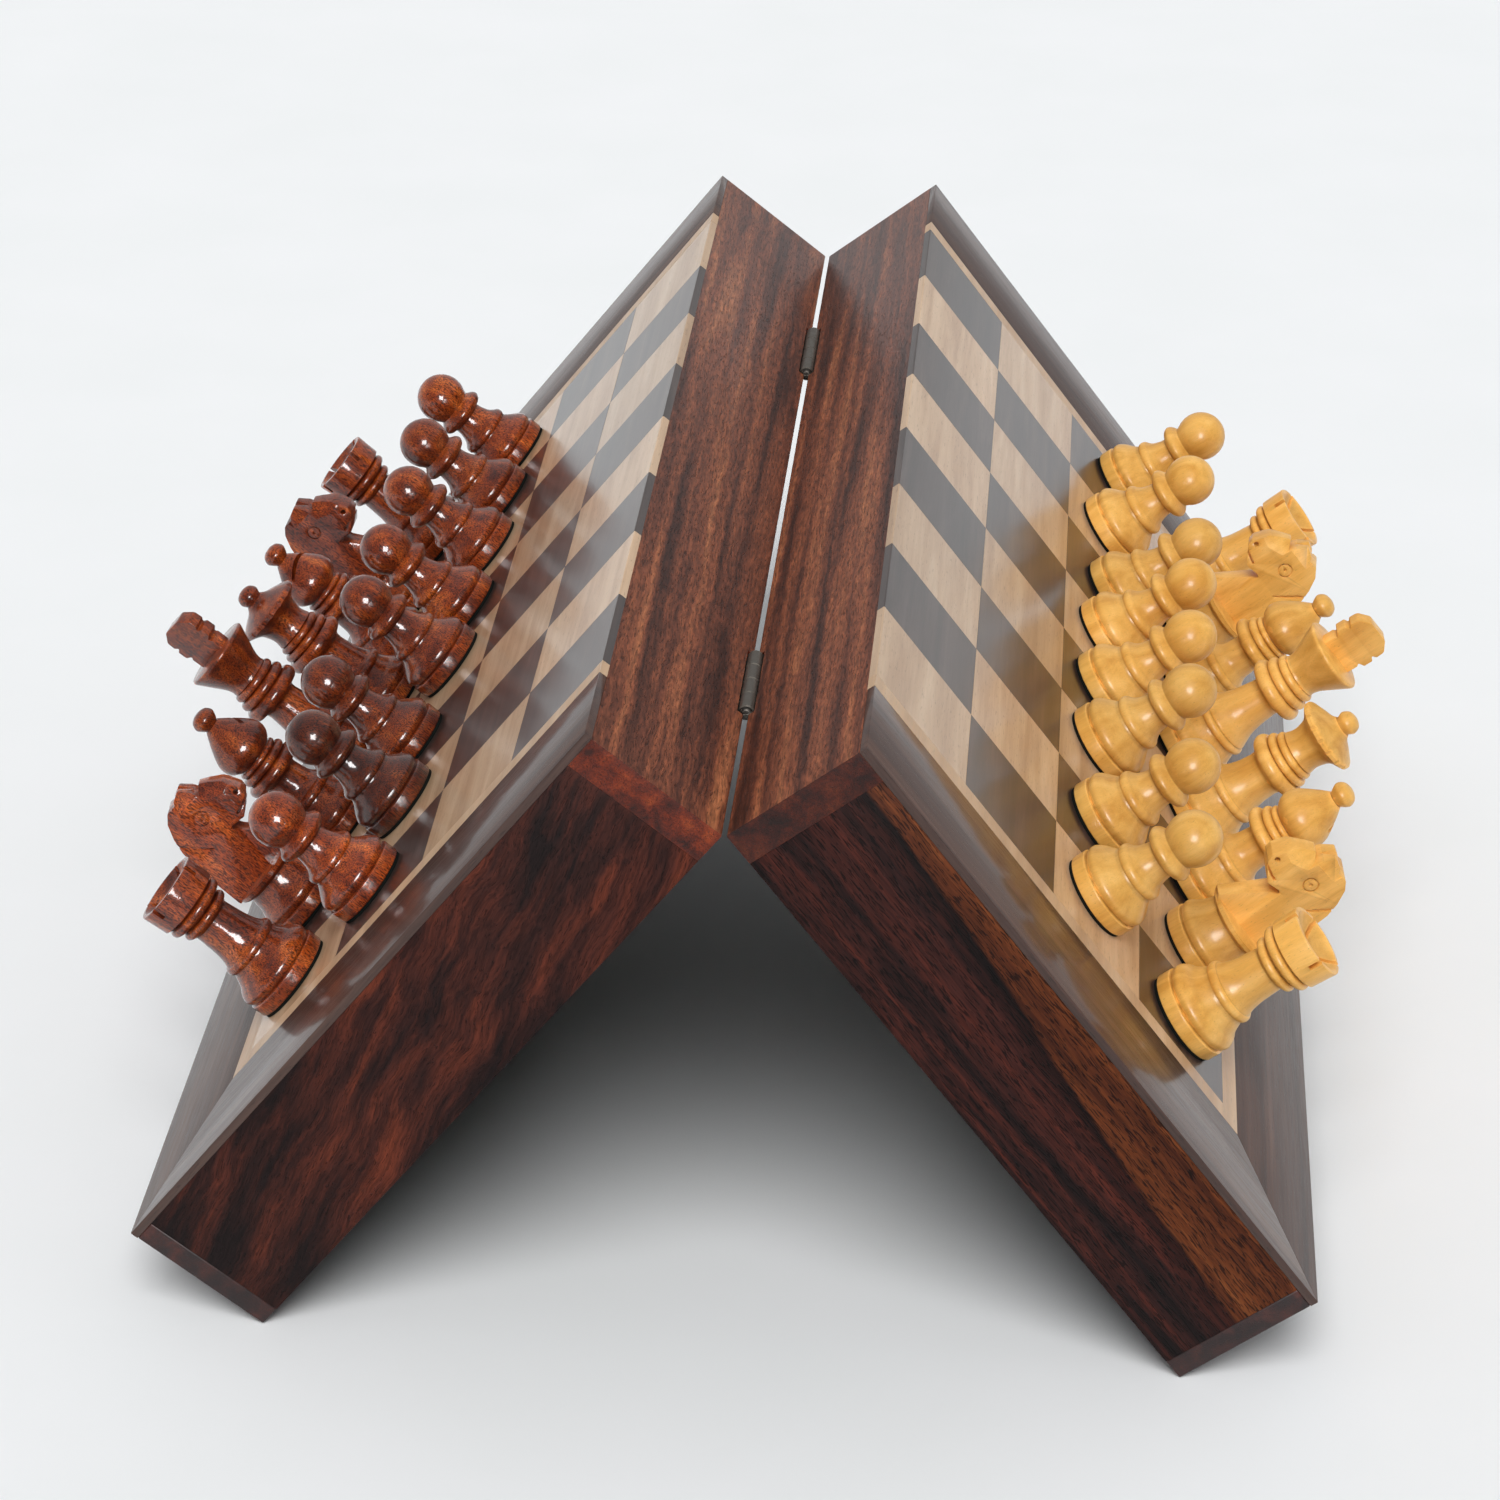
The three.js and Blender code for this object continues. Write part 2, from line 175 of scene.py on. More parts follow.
def smoothed(mesh, angle=32):
    for polygon in mesh.polygons:
        polygon.use_smooth = True
    mesh.set_sharp_from_angle(angle=math.radians(angle))
    return mesh


def bar(outline, start, end):
    """A bar along Y with an outline of (x, z) points."""
    count = len(outline)
    points = [(x, start, z) for x, z in outline] + [(x, end, z) for x, z in outline]
    faces = [list(range(count)), list(range(count, 2 * count))]
    faces += [[i, (i + 1) % count, count + (i + 1) % count, count + i] for i in range(count)]
    return mesh_of("bar", points, faces)


def slab(outline, low, high):
    """A flat piece with an outline of (x, y) points between two heights."""
    return moved(bar([(x, -y) for x, y in outline], low, high), Matrix.Rotation(math.pi / 2, 4, "X"))


def block(low, high):
    outline = [(low[0], low[2]), (high[0], low[2]), (high[0], high[2]), (low[0], high[2])]
    return bar(outline, low[1], high[1])


def eased(corners, steps=4):
    """A closed outline of (x, z, rounding) corners, each rounded by that much."""
    made = []
    for i, (x, z, rounding) in enumerate(corners):
        here = Vector((x, z))
        before = Vector(corners[i - 1][:2]) - here
        after = Vector(corners[(i + 1) % len(corners)][:2]) - here
        if rounding == 0:
            made.append(here)
            continue
        reach = rounding / math.tan(before.angle(after) / 2)
        start = here + before.normalized() * reach
        end = here + after.normalized() * reach
        for k in range(steps + 1):
            t = k / steps
            made.append(start.lerp(here, t).lerp(here.lerp(end, t), t))
    return made


def hull(points):
    """The closed solid round these points."""
    solid = bmesh.new()
    for point in points:
        solid.verts.new(point)
    bmesh.ops.convex_hull(solid, input=solid.verts)
    mesh = bpy.data.meshes.new("hull")
    solid.to_mesh(mesh)
    solid.free()
    return mesh


class Profile:
    """The outline of a turned piece as (radius, height) points, from the middle of its foot up."""

    def __init__(self, radius=0.0, height=0.0):
        self.points = [Vector((0.0, height)), Vector((radius, height))]

    def line(self, *points):
        self.points += [Vector(point) for point in points]
        return self

    def arc(self, radius, height, bulge, steps=8):
        """A round stretch to that point, standing out from the straight line by the bulge."""
        start, end = self.points[-1], Vector((radius, height))
        chord = end - start
        out = Vector((chord.y, -chord.x)).normalized()
        swing = 2 * math.atan(2 * abs(bulge) / chord.length)
        size = chord.length / 2 / math.sin(swing)
        side = math.copysign(1, bulge)
        centre = start + chord / 2 + out * (bulge - side * size)
        for k in range(1, steps + 1):
            turn = swing * (2 * k / steps - 1)
            reach = out * side * math.cos(turn) + chord.normalized() * math.sin(turn)
            self.points.append(centre + reach * size)
        return self

    def flow(self, *points, steps=5):
        """A smooth curve through these points."""
        knots = [self.points[-1]] + [Vector(point) for point in points]
        knots = [2 * knots[0] - knots[1]] + knots + [2 * knots[-1] - knots[-2]]
        for a, b, c, d in zip(knots, knots[1:], knots[2:], knots[3:]):
            for k in range(1, steps + 1):
                t = k / steps
                self.points.append(0.5 * (
                    2 * b + (c - a) * t + (2 * a - 5 * b + 4 * c - d) * t * t
                    + (3 * b - a - 3 * c + d) * t ** 3
                ))
        return self

    def ball(self, centre, radius, steps=16):
        """The rest of a ball on top, from where the outline stands now to the pole."""
        last = self.points[-1]
        start = math.atan2(last.y - centre, last.x)
        for k in range(1, steps + 1):
            turn = start + (math.pi / 2 - start) * k / steps
            self.points.append(Vector((radius * math.cos(turn), centre + radius * math.sin(turn))))
        return self

    def turned(self, sides=72):
        """The closed mesh of this outline turned about Z."""
        outline = [p for p in self.points if p.x > 1e-4]
        bottom, top = self.points[0].y, self.points[-1].y
        points = []
        for p in outline:
            for k in range(sides):
                turn = 2 * math.pi * k / sides
                points.append((p.x * math.cos(turn), p.x * math.sin(turn), p.y))
        faces = []
        for i in range(len(outline) - 1):
            for k in range(sides):
                a, b = i * sides + k, i * sides + (k + 1) % sides
                faces.append([a, b, b + sides, a + sides])
        points += [(0, 0, bottom), (0, 0, top)]
        last = (len(outline) - 1) * sides
        for k in range(sides):
            faces.append([(k + 1) % sides, k, len(points) - 2])
            faces.append([last + k, last + (k + 1) % sides, len(points) - 1])
        return mesh_of("turned", points, faces)


def add_piece(name, mesh, material, place, body, *nodes, slot=None):
    """Puts a millimetre mesh in the scene as a piece that rides on the body and stands for the nodes."""
    mesh.transform(Matrix.Scale(MM, 4))
    mesh.materials.clear()
    mesh.materials.append(material)
    piece = bpy.data.objects.new(name, mesh)
    bpy.context.scene.collection.objects.link(piece)
    piece.matrix_world = place
    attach(piece, body)
    if nodes:
        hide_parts(*nodes)
    return piece


# ---- shading ----

def tone(red, green, blue):
    """A shader colour from screen values of 0 to 255."""
    def linear(value):
        share = value / 255
        return share / 12.92 if share <= 0.04045 else ((share + 0.055) / 1.055) ** 2.4
    return (linear(red), linear(green), linear(blue), 1.0)


class Shading:
    """A node material. Its coordinates are millimetres in the piece's own frame."""

    def __init__(self, name, roughness=0.5, **settings):
        self.material = bpy.data.materials.new(name)
        self.material.use_nodes = True
        self.tree = self.material.node_tree
        self.shader = self.tree.nodes["Principled BSDF"]
        self.shader.inputs["Roughness"].default_value = roughness
        for key, value in settings.items():
            self.shader.inputs[key.replace("_", " ")].default_value = value

    def node(self, kind, *values, **settings):
        """A node whose inputs in order are the values, each a link or a constant; None leaves one out."""
        made = self.tree.nodes.new("ShaderNode" + kind)
        for key, value in settings.items():
            setattr(made, key, value)
        shown = [socket for socket in made.inputs if socket.enabled]
        for socket, value in zip(shown, values):
            if isinstance(value, bpy.types.NodeSocket):
                self.tree.links.new(value, socket)
            elif value is not None:
                socket.default_value = value
        return made

    def millimetres(self, shift=(0, 0, 0), turn=(0, 0, 0)):
        place = self.node("TexCoord").outputs["Object"]
        whole = self.node("Mapping", place, shift, turn, (1 / MM,) * 3, vector_type="POINT")
        return whole.outputs[0]

    def math(self, operation, *values, clamp=False):
        return self.node("Math", *values, operation=operation, use_clamp=clamp).outputs[0]

    def stretched(self, vector, scale):
        return self.node("VectorMath", vector, scale, operation="MULTIPLY").outputs[0]

    def noise(self, vector, detail=2.0, roughness=0.5, distortion=0.0):
        made = self.node("TexNoise", vector)
        values = {"Scale": 1.0, "Detail": detail, "Roughness": roughness, "Distortion": distortion}
        for key, value in values.items():
            made.inputs[key].default_value = value
        return made.outputs["Fac"]

    def wavered(self, vector, wave, amount):
        """The coordinates pushed about by a slow noise of that wave length."""
        slow = self.node("TexNoise", self.stretched(vector, (1 / wave,) * 3))
        slow.inputs["Scale"].default_value = 1.0
        centred = self.node("VectorMath", slow.outputs["Color"], (0.5,) * 3, operation="SUBTRACT")
        push = self.node("VectorMath", centred.outputs[0], amount, operation="MULTIPLY")
        return self.node("VectorMath", vector, push.outputs[0], operation="ADD").outputs[0]

    def ramp(self, value, *stops):
        """A colour for a value of 0 to 1, from (position, colour) stops."""
        made = self.node("ValToRGB", value)
        elements = made.color_ramp.elements
        while len(elements) < len(stops):
            elements.new(0.5)
        for element, (position, colour) in zip(elements, stops):
            element.position = position
            element.color = colour
        return made.outputs["Color"]

    def range(self, value, low, high, new_low=0.0, new_high=1.0):
        made = self.node("MapRange", value, low, high, new_low, new_high)
        made.interpolation_type = "SMOOTHSTEP"
        return made.outputs[0]

    def mixed(self, share, first, second, blend="MIX"):
        made = self.tree.nodes.new("ShaderNodeMix")
        made.data_type = "RGBA"
        made.blend_type = blend
        for key, value in (("Factor_Float", share), ("A_Color", first), ("B_Color", second)):
            socket = next(s for s in made.inputs if s.identifier == key)
            if isinstance(value, bpy.types.NodeSocket):
                self.tree.links.new(value, socket)
            else:
                socket.default_value = value
        return next(s for s in made.outputs if s.identifier == "Result_Color")

    def shaded(self, colour, factor):
        """The colour made lighter or darker by a factor link."""
        grey = self.node("CombineColor", factor, factor, factor).outputs[0]
        return self.mixed(1.0, colour, grey, "MULTIPLY")

    def done(self, colour, height=None, depth=0.05, roughness=None):
        """Links the colour, a bump of that depth in millimetres and a roughness, and closes."""
        self.tree.links.new(colour, self.shader.inputs["Base Color"])
        if roughness is not None:
            self.tree.links.new(roughness, self.shader.inputs["Roughness"])
        if height is not None:
            self.bumped(height, depth, "Normal")
        return self.material

    def bumped(self, height, depth, socket):
        """A bump of that depth in millimetres on a normal of the shader."""
        bump = self.node("Bump")
        bump.inputs["Strength"].default_value = 1.0
        bump.inputs["Distance"].default_value = depth * MM
        self.tree.links.new(height, bump.inputs["Height"])
        self.tree.links.new(bump.outputs[0], self.shader.inputs[socket])

    def rippled_coat(self, spot, size, depth):
        """A clear coat that isn't quite even: waves of that size and depth in millimetres."""
        self.bumped(self.noise(self.stretched(spot, (1 / size,) * 3), 2.0), depth, "Coat Normal")


ALONG = {"X": 0, "Y": 1, "Z": 2}
STOPS = (0.3, 0.45, 0.58, 0.72)


def grain_scale(grain, across, along):
    """A coordinate scale that draws noise out along the grain."""
    scale = [1 / across] * 3
    scale[ALONG[grain]] = 1 / along
    return tuple(scale)


def timber_layers(s, spot, grain, band, fibre, pore):
    """Bands, fibres and pores of a wood as 0 to 1 links. Each size is (across, along) the grain."""
    bands = s.noise(s.stretched(spot, grain_scale(grain, *band)), 3.0, 0.55, 0.4)
    fibres = s.noise(s.stretched(spot, grain_scale(grain, *fibre)), 3.0, 0.6)
    holes = s.noise(s.stretched(spot, grain_scale(grain, *pore)), 1.0, 0.5)
    return bands, fibres, holes


def timber(name, tones, grain, band=(5, 90), fibre=(0.5, 9), pore=(0.22, 2.2), waver=(14, 1.5),
           contrast=0.35, pores=0.5, pore_limit=0.62, roughness=0.4, shift=(0, 0, 0),
           turn=(0, 0, 0), depth=0.05, **settings):
    """A plain sawn wood: tones from dark to light over the bands, streaky fibres and dark pores."""
    s = Shading(name, roughness, **settings)
    spot = s.wavered(s.millimetres(shift, turn), waver[0], (waver[1],) * 3)
    bands, fibres, holes = timber_layers(s, spot, grain, band, fibre, pore)
    colour = s.ramp(bands, *zip(STOPS, tones))
    colour = s.shaded(colour, s.range(fibres, 0.25, 0.75, 1 - contrast, 1 + contrast))
    open_pore = s.range(holes, pore_limit, pore_limit + 0.08)
    colour = s.shaded(colour, s.math("MULTIPLY_ADD", open_pore, -pores, 1.0))
    height = s.math("SUBTRACT", s.math("MULTIPLY", fibres, 0.5), open_pore)
    rough = s.range(fibres, 0.3, 0.7, roughness - 0.05, roughness + 0.08)
    return s.done(colour, height, depth, rough)


ROSEWOOD = (tone(60, 30, 21), tone(98, 52, 35), tone(128, 71, 46), tone(160, 98, 63))
END_GRAIN = (tone(54, 15, 5), tone(90, 28, 8), tone(116, 40, 10), tone(138, 56, 18))
END_SHADE = {"left": (0.7, 1.3), "right": (0.25, 0.5)}
DARK_ROSEWOOD = (tone(26, 15, 15), tone(48, 23, 19), tone(72, 33, 24), tone(104, 47, 29))
BLACK_ROSEWOOD = (tone(24, 13, 13), tone(42, 20, 18), tone(60, 27, 22), tone(84, 36, 26))
SAPWOOD = (tone(60, 26, 12), tone(82, 38, 17), tone(99, 49, 21), tone(122, 66, 31))
WALNUT = (tone(56, 36, 30), tone(70, 47, 39), tone(82, 57, 47), tone(96, 69, 58))
DARK_SQUARE = (tone(44, 33, 30), tone(54, 41, 37), tone(64, 49, 44), tone(78, 61, 55))
MAPLE = (tone(178, 143, 110), tone(192, 158, 124), tone(202, 169, 135), tone(212, 182, 149))
PLY = (tone(150, 112, 72), tone(172, 133, 90), tone(186, 148, 104), tone(198, 162, 118))


def spine_wood(side):
    """Rosewood with rippled figure along the wall and a warmer end grain."""
    s = Shading(side + "_spine_wood", 0.4, Specular_IOR_Level=0.3)
    shift = (0, 0, 0) if side == "left" else (40, 90, 11)
    bare = s.millimetres(shift)
    spot = s.wavered(bare, 9, (1.6, 1.6, 1.6))
    bands, fibres, holes = timber_layers(s, spot, "Y", (4.0, 140), (0.42, 5), (0.22, 2.4))
    ripple = s.noise(s.stretched(s.wavered(bare, 2.5, (1.2,) * 3), (1.6, 0.42, 1.6)), 2.0)
    colour = s.ramp(bands, *zip((0.34, 0.45, 0.56, 0.68), ROSEWOOD))
    colour = s.shaded(colour, s.range(fibres, 0.3, 0.7, 0.66, 1.34))
    colour = s.shaded(colour, s.range(ripple, 0.35, 0.65, 0.82, 1.18))
    ends = s.ramp(bands, *zip((0.32, 0.45, 0.56, 0.68), END_GRAIN))
    ends = s.shaded(ends, s.range(fibres, 0.3, 0.7, *END_SHADE[side]))
    normal = s.node("SeparateXYZ", s.node("TexCoord").outputs["Normal"]).outputs[1]
    colour = s.mixed(s.range(s.math("ABSOLUTE", normal), 0.6, 0.8), colour, ends)
    open_pore = s.range(holes, 0.6, 0.68)
    colour = s.shaded(colour, s.math("MULTIPLY_ADD", open_pore, -0.5, 1.0))
    height = s.math("SUBTRACT", s.math("MULTIPLY", s.math("ADD", fibres, ripple), 0.5), open_pore)
    return s.done(colour, height, 0.06)


def left_end_wood():
    """Dark rosewood with black flames that run slightly across the wall."""
    s = Shading("left_end_wood", 0.45, Specular_IOR_Level=0.12)
    spot = s.wavered(s.millimetres(turn=(0, math.radians(-15), 0)), 26, (7, 7, 7))
    spot = s.wavered(spot, 2.2, (0.7, 0.7, 0.7))
    bands, fibres, holes = timber_layers(s, spot, "X", (4.4, 34), (0.4, 7), (0.2, 2.5))
    colour = s.ramp(bands, *zip((0.36, 0.47, 0.58, 0.74), DARK_ROSEWOOD))
    colour = s.shaded(colour, s.range(fibres, 0.3, 0.7, 0.62, 1.38))
    open_pore = s.range(holes, 0.6, 0.7)
    colour = s.shaded(colour, s.math("MULTIPLY_ADD", open_pore, -0.55, 1.0))
    return s.done(colour, s.math("SUBTRACT", fibres, open_pore), 0.05)


def right_end_wood(low, high):
    """Black rosewood with a strip of bright sapwood next to the playing surface."""
    s = Shading("right_end_wood", 0.42, Specular_IOR_Level=0.12)
    spot = s.wavered(s.millimetres(), 16, (1.6, 1.6, 1.6))
    bands, fibres, holes = timber_layers(s, spot, "X", (2.6, 90), (0.42, 8), (0.24, 2.6))
    dark = s.ramp(bands, *zip((0.36, 0.46, 0.56, 0.68), BLACK_ROSEWOOD))
    bright = s.ramp(bands, *zip((0.3, 0.45, 0.58, 0.7), SAPWOOD))
    axes = s.node("SeparateXYZ", spot).outputs
    share = s.range(axes[0], low.x, high.x)
    edge = s.math("MULTIPLY_ADD", share, -8.5, high.z - 3.0)
    above = s.math("SUBTRACT", axes[2], edge)
    near_edge = s.range(s.math("ABSOLUTE", above), 0.0, 5.0, 0.4, 1.0)
    colour = s.mixed(s.range(above, -0.4, 0.6), s.shaded(dark, near_edge), bright)
    colour = s.shaded(colour, s.range(fibres, 0.3, 0.7, 0.7, 1.3))
    open_pore = s.range(holes, 0.55, 0.61)
    colour = s.shaded(colour, s.math("MULTIPLY_ADD", open_pore, -0.75, 1.0))
    return s.done(colour, s.math("SUBTRACT", fibres, open_pore), 0.05)


def border_wood(name, grain, shift):
    return timber(
        name, WALNUT, grain, band=(4, 120), fibre=(0.4, 10), waver=(20, 1.0), contrast=0.16,
        pores=0.35, roughness=0.4, shift=shift, depth=0.02, Specular_IOR_Level=0.2, Coat_Weight=0.5,
        Coat_Roughness=0.14,
    )


def square_wood(name, tones, contrast, seed):
    """Veneer squares under a clear gloss, each square a little lighter or darker than the next."""
    s = Shading(name, 0.4, Specular_IOR_Level=0.2, Coat_Weight=0.7, Coat_Roughness=0.18)
    whole = s.millimetres()
    cell = s.node("VectorMath", whole, (SQUARE, SQUARE, 100), operation="SNAP").outputs[0]
    chance = s.node("TexWhiteNoise", s.node("VectorMath", cell, (seed, 0, 0), operation="ADD").outputs[0])
    jump = s.node("VectorMath", chance.outputs["Color"], (60, 60, 60), operation="MULTIPLY").outputs[0]
    spot = s.node("VectorMath", whole, jump, operation="ADD").outputs[0]
    bands, fibres, holes = timber_layers(s, spot, "Y", (4, 60), (0.4, 7), (0.25, 2.0))
    colour = s.ramp(bands, *zip(STOPS, tones))
    colour = s.shaded(colour, s.range(chance.outputs["Value"], 0.0, 1.0, 0.88, 1.1))
    colour = s.shaded(colour, s.range(fibres, 0.25, 0.75, 1 - contrast, 1 + contrast))
    open_pore = s.range(holes, 0.64, 0.72)
    colour = s.shaded(colour, s.math("MULTIPLY_ADD", open_pore, -0.25, 1.0))
    s.rippled_coat(whole, 9, 0.01)
    return s.done(colour, fibres, 0.01)


def turned_wood(name, tones, seed, coat, coat_roughness, pores, pore_limit, contrast):
    """The wood of a chess piece, its grain along the piece, darker in the hollows (pooled polish and
    painted shade) and lighter on the edges (painted highlight).
    """
    s = Shading(name, 0.42, Specular_IOR_Level=0.2, Coat_Weight=coat, Coat_Roughness=coat_roughness)
    chance = random.Random(seed)
    shift = tuple(chance.uniform(-200, 200) for _ in range(3))
    bare = s.millimetres(shift)
    spot = s.wavered(bare, 7, (1.0, 1.0, 1.0))
    bands, fibres, holes = timber_layers(s, spot, "Z", (3.4, 24), (0.24, 2.6), (0.16, 0.8))
    colour = s.ramp(bands, *zip(STOPS, tones))
    colour = s.shaded(colour, s.range(fibres, 0.3, 0.7, 1 - contrast, 1 + contrast))
    open_pore = s.range(holes, pore_limit, pore_limit + 0.06)
    colour = s.shaded(colour, s.math("MULTIPLY_ADD", open_pore, -pores, 1.0))
    # Pointiness darkens the hollows and lightens the edges: painted shade in the hollows, where polish
    # also pools, and a painted highlight on the edges.
    edge = s.node("NewGeometry").outputs["Pointiness"]
    colour = s.shaded(colour, s.range(edge, 0.42, 0.58, 0.7, 1.2))
    s.rippled_coat(bare, 0.9, 0.03)
    return s.done(colour, s.math("SUBTRACT", s.math("MULTIPLY", fibres, 0.4), open_pore), 0.02)


def steel(name, colour, roughness, wear):
    """Metal with a mottled surface, brighter where it is worn."""
    s = Shading(name, roughness, Metallic=0.9)
    spot = s.millimetres()
    mottle = s.noise(s.stretched(spot, (1.2, 1.2, 1.2)), 5.0, 0.6)
    scratches = s.noise(s.stretched(spot, (6, 0.8, 6)), 2.0, 0.6)
    shade = s.shaded(colour, s.range(mottle, 0.3, 0.7, 0.75, 1.25))
    edge = s.range(s.node("NewGeometry").outputs["Pointiness"], 0.52, 0.6)
    shade = s.mixed(s.math("MULTIPLY", edge, 0.6), shade, wear)
    rough = s.range(mottle, 0.3, 0.7, roughness - 0.08, roughness + 0.12)
    return s.done(shade, scratches, 0.01, rough)


def felt(name, colour):
    s = Shading(name, 0.95, Specular_IOR_Level=0.1)
    spot = s.millimetres()
    fibres = s.noise(s.stretched(spot, (3, 3, 3)), 6.0, 0.75, 1.5)
    patches = s.noise(s.stretched(spot, (0.12, 0.12, 0.12)), 2.0)
    shade = s.shaded(colour, s.range(fibres, 0.3, 0.7, 0.6, 1.5))
    shade = s.shaded(shade, s.range(patches, 0.3, 0.7, 0.85, 1.15))
    return s.done(shade, fibres, 0.3)


# ---- box ----

GLUE = 0.3
HINGE_BARREL = 1.45
LEAF_LOW = 0.3
LEAF_HIGH = 1.0
LEAF_INNER = 1.75
KNUCKLE_PLAY = 0.06
SCREW_X = 3.2


def body_of(side):
    return side + "_half"


def recess(side, node_name):
    """The room for a hinge, cut a little wider than the hinge itself."""
    near, far = local_box(node_name, PLACES[side])
    radius, past = HINGE_BARREL + 0.25, 0.75
    barrel = Profile(radius, near.y - past).line((radius, far.y + past), (0, far.y + past))
    barrel = lying(barrel.turned(32))
    seat = block((-1, near.y - 0.15, -1), (far.x + 0.2, far.y + 0.15, far.z + 0.1))
    return [barrel, seat]


def spine_wall(side):
    low, high = local_box(side + "_spine_wall", PLACES[side])
    top = high.z + GLUE
    outline = eased([
        (low.x, low.z, 0.45), (high.x, low.z, 0.4), (high.x, top, 0), (low.x, top, 0.06),
    ])
    wall = bevelled(bar(outline, low.y, high.y), 0.25, 2, 60)
    cutters = []
    for end in ("near", "far"):
        cutters += recess(side, f"{end}_hinge_{side}_leaf")
    wall = smoothed(carved(wall, cutters))
    add_piece(
        side + "_spine", wall, spine_wood(side), PLACES[side], body_of(side),
        side + "_spine_wall", slot="spine_rosewood",
    )


def outer_wall(side, wood):
    low, high = local_box(side + "_outer_wall", PLACES[side])
    high.z += GLUE
    wall = bevelled(block(low, high), 0.3, 3)
    near, far = local_box(side + "_closure_magnet", PLACES[side])
    play = Vector((0.15, 0.15, 0.15))
    wall = carved(wall, [block(near - play, far + play)])
    add_piece(
        side + "_outer", smoothed(wall), wood, PLACES[side], body_of(side),
        side + "_outer_wall", slot="wall_rosewood",
    )


def end_wall(side, end, wood):
    node_name = f"{side}_{end}_end_wall"
    low, high = local_box(node_name, PLACES[side])
    low.x -= GLUE
    high.x += GLUE
    high.z += GLUE
    wall = smoothed(bevelled(block(low, high), 0.12, 2))
    add_piece(
        f"{side}_{end}_end", wall, wood, PLACES[side], body_of(side), node_name, slot="wall_rosewood",
    )


def tray_inside(side):
    """Base panel, steel sheet, lining and closure magnet."""
    place, body = PLACES[side], body_of(side)
    for suffix, name, material, slot, rounding in (
        ("_base_panel", "_panel", PANEL_WOOD, "base_panel_wood", 0.1),
        ("_steel_sheet", "_sheet", ZINC, "steel_sheet", 0.05),
        ("_felt_lining", "_lining", FELT, "felt", 0.3),
        ("_closure_magnet", "_magnet", ZINC, "magnet_metal", 0.2),
    ):
        low, high = local_box(side + suffix, place)
        mesh = smoothed(bevelled(block(low, high), rounding, 2))
        add_piece(side + name, mesh, material, place, body, side + suffix, slot=slot)


# ---- playing surface ----

def squares(side):
    """Thirty-two glued squares, in one mesh for each wood. The spine edge is slightly uneven.

    The square in the corner by the spine and the -Y end of the flat frame is light on both halves.
    """
    place = PLACES[side]
    low, high = local_box(side + "_squares", place)
    gap = 0.015
    chance = random.Random(5)
    tiles = {"dark": [], "light": []}
    for file in range(FILES):
        for rank in range(RANKS):
            wood = "light" if (file + rank) % 2 == 0 else "dark"
            x0 = low.x + rank * SQUARE
            y0 = -FILES / 2 * SQUARE + file * SQUARE
            worn = chance.uniform(0.1, 0.3) if rank == 0 else 0
            top = high.z - (chance.uniform(0.0, 0.03) if rank == 0 else 0)
            outline = eased([
                (x0 + gap, low.z, 0), (x0 + SQUARE - gap, low.z, 0),
                (x0 + SQUARE - gap, top, 0), (x0 + gap, top, worn),
            ])
            tiles[wood].append(bar(outline, y0 + gap, y0 + SQUARE - gap))
    add_piece(
        side + "_dark_squares", smoothed(joined("dark", tiles["dark"])), DARK_TILE, place,
        body_of(side), side + "_squares", slot="dark_square_wood",
    )
    add_piece(
        side + "_light_squares", smoothed(joined("light", tiles["light"])), LIGHT_TILE, place,
        body_of(side), slot="light_square_wood",
    )


def mitred_strips(inner_x, outer_x, inner_y, outer_y, spine_x, low, high, gap=0.02):
    """Near end, far end and outer strips round the squares, mitred where they meet."""
    ends = [
        [(spine_x, y * inner_y), (inner_x - gap, y * inner_y), (outer_x - gap, y * outer_y),
         (spine_x, y * outer_y)]
        for y in (-1, 1)
    ]
    outer = [
        (inner_x + gap, -inner_y), (outer_x + gap, -outer_y), (outer_x + gap, outer_y),
        (inner_x + gap, inner_y),
    ]
    return slab(ends[0], low, high), slab(ends[1], low, high), slab(outer, low, high)


def inlay_and_border(side):
    place, body = PLACES[side], body_of(side)
    x0 = local_box(side + "_squares", place)[0].x
    inlay_high = local_box(side + "_inlay_line", place)[1]
    border_low, border_high = local_box(side + "_border", place)
    x1, y1 = x0 + RANKS * SQUARE, FILES / 2 * SQUARE
    x2, y2 = inlay_high.x + 0.15, inlay_high.y + 0.15
    x3, y3 = border_high.x, border_high.y
    low, high = border_low.z, border_high.z
    lines = mitred_strips(x1, x2, y1, y2, x0, low, high)
    add_piece(
        side + "_inlay", smoothed(joined("inlay", lines)), INLAY, place, body,
        side + "_inlay_line", slot="light_square_wood",
    )
    strips = mitred_strips(x2, x3, y2, y3, x0, low, high)
    woods = (END_BORDER[side], END_BORDER[side], SIDE_BORDER[side])
    for name, mesh, wood in zip(("minus_end", "plus_end", "outer"), strips, woods):
        nodes = [side + "_border"] if name == "outer" else []
        mesh = smoothed(bevelled(mesh, 0.12, 2, 60))
        add_piece(f"{side}_{name}_border", mesh, wood, place, body, *nodes, slot="border_walnut")


# ---- hinges ----

def ring(outline, sides, centre=(0, 0)):
    """A closed outline of (radius, y) points turned about a line along Y through (x, z)."""
    verts, faces = [], []
    for radius, y in outline:
        for k in range(sides):
            turn = 2 * math.pi * k / sides
            verts.append((centre[0] + radius * math.cos(turn), y, centre[1] + radius * math.sin(turn)))
    for i in range(len(outline)):
        here, following = i * sides, (i + 1) % len(outline) * sides
        for k in range(sides):
            beyond = (k + 1) % sides
            faces.append([here + k, here + beyond, following + beyond, following + k])
    return mesh_of("ring", verts, faces)


def knuckle(start, end):
    """A rolled barrel section with a slightly eased rim and a bore."""
    outer, bore, rim = HINGE_BARREL, 0.62, 0.18
    return ring([
        (bore, start), (outer - rim, start), (outer, start + rim), (outer, end - rim),
        (outer - rim, end), (bore, end),
    ], 40)


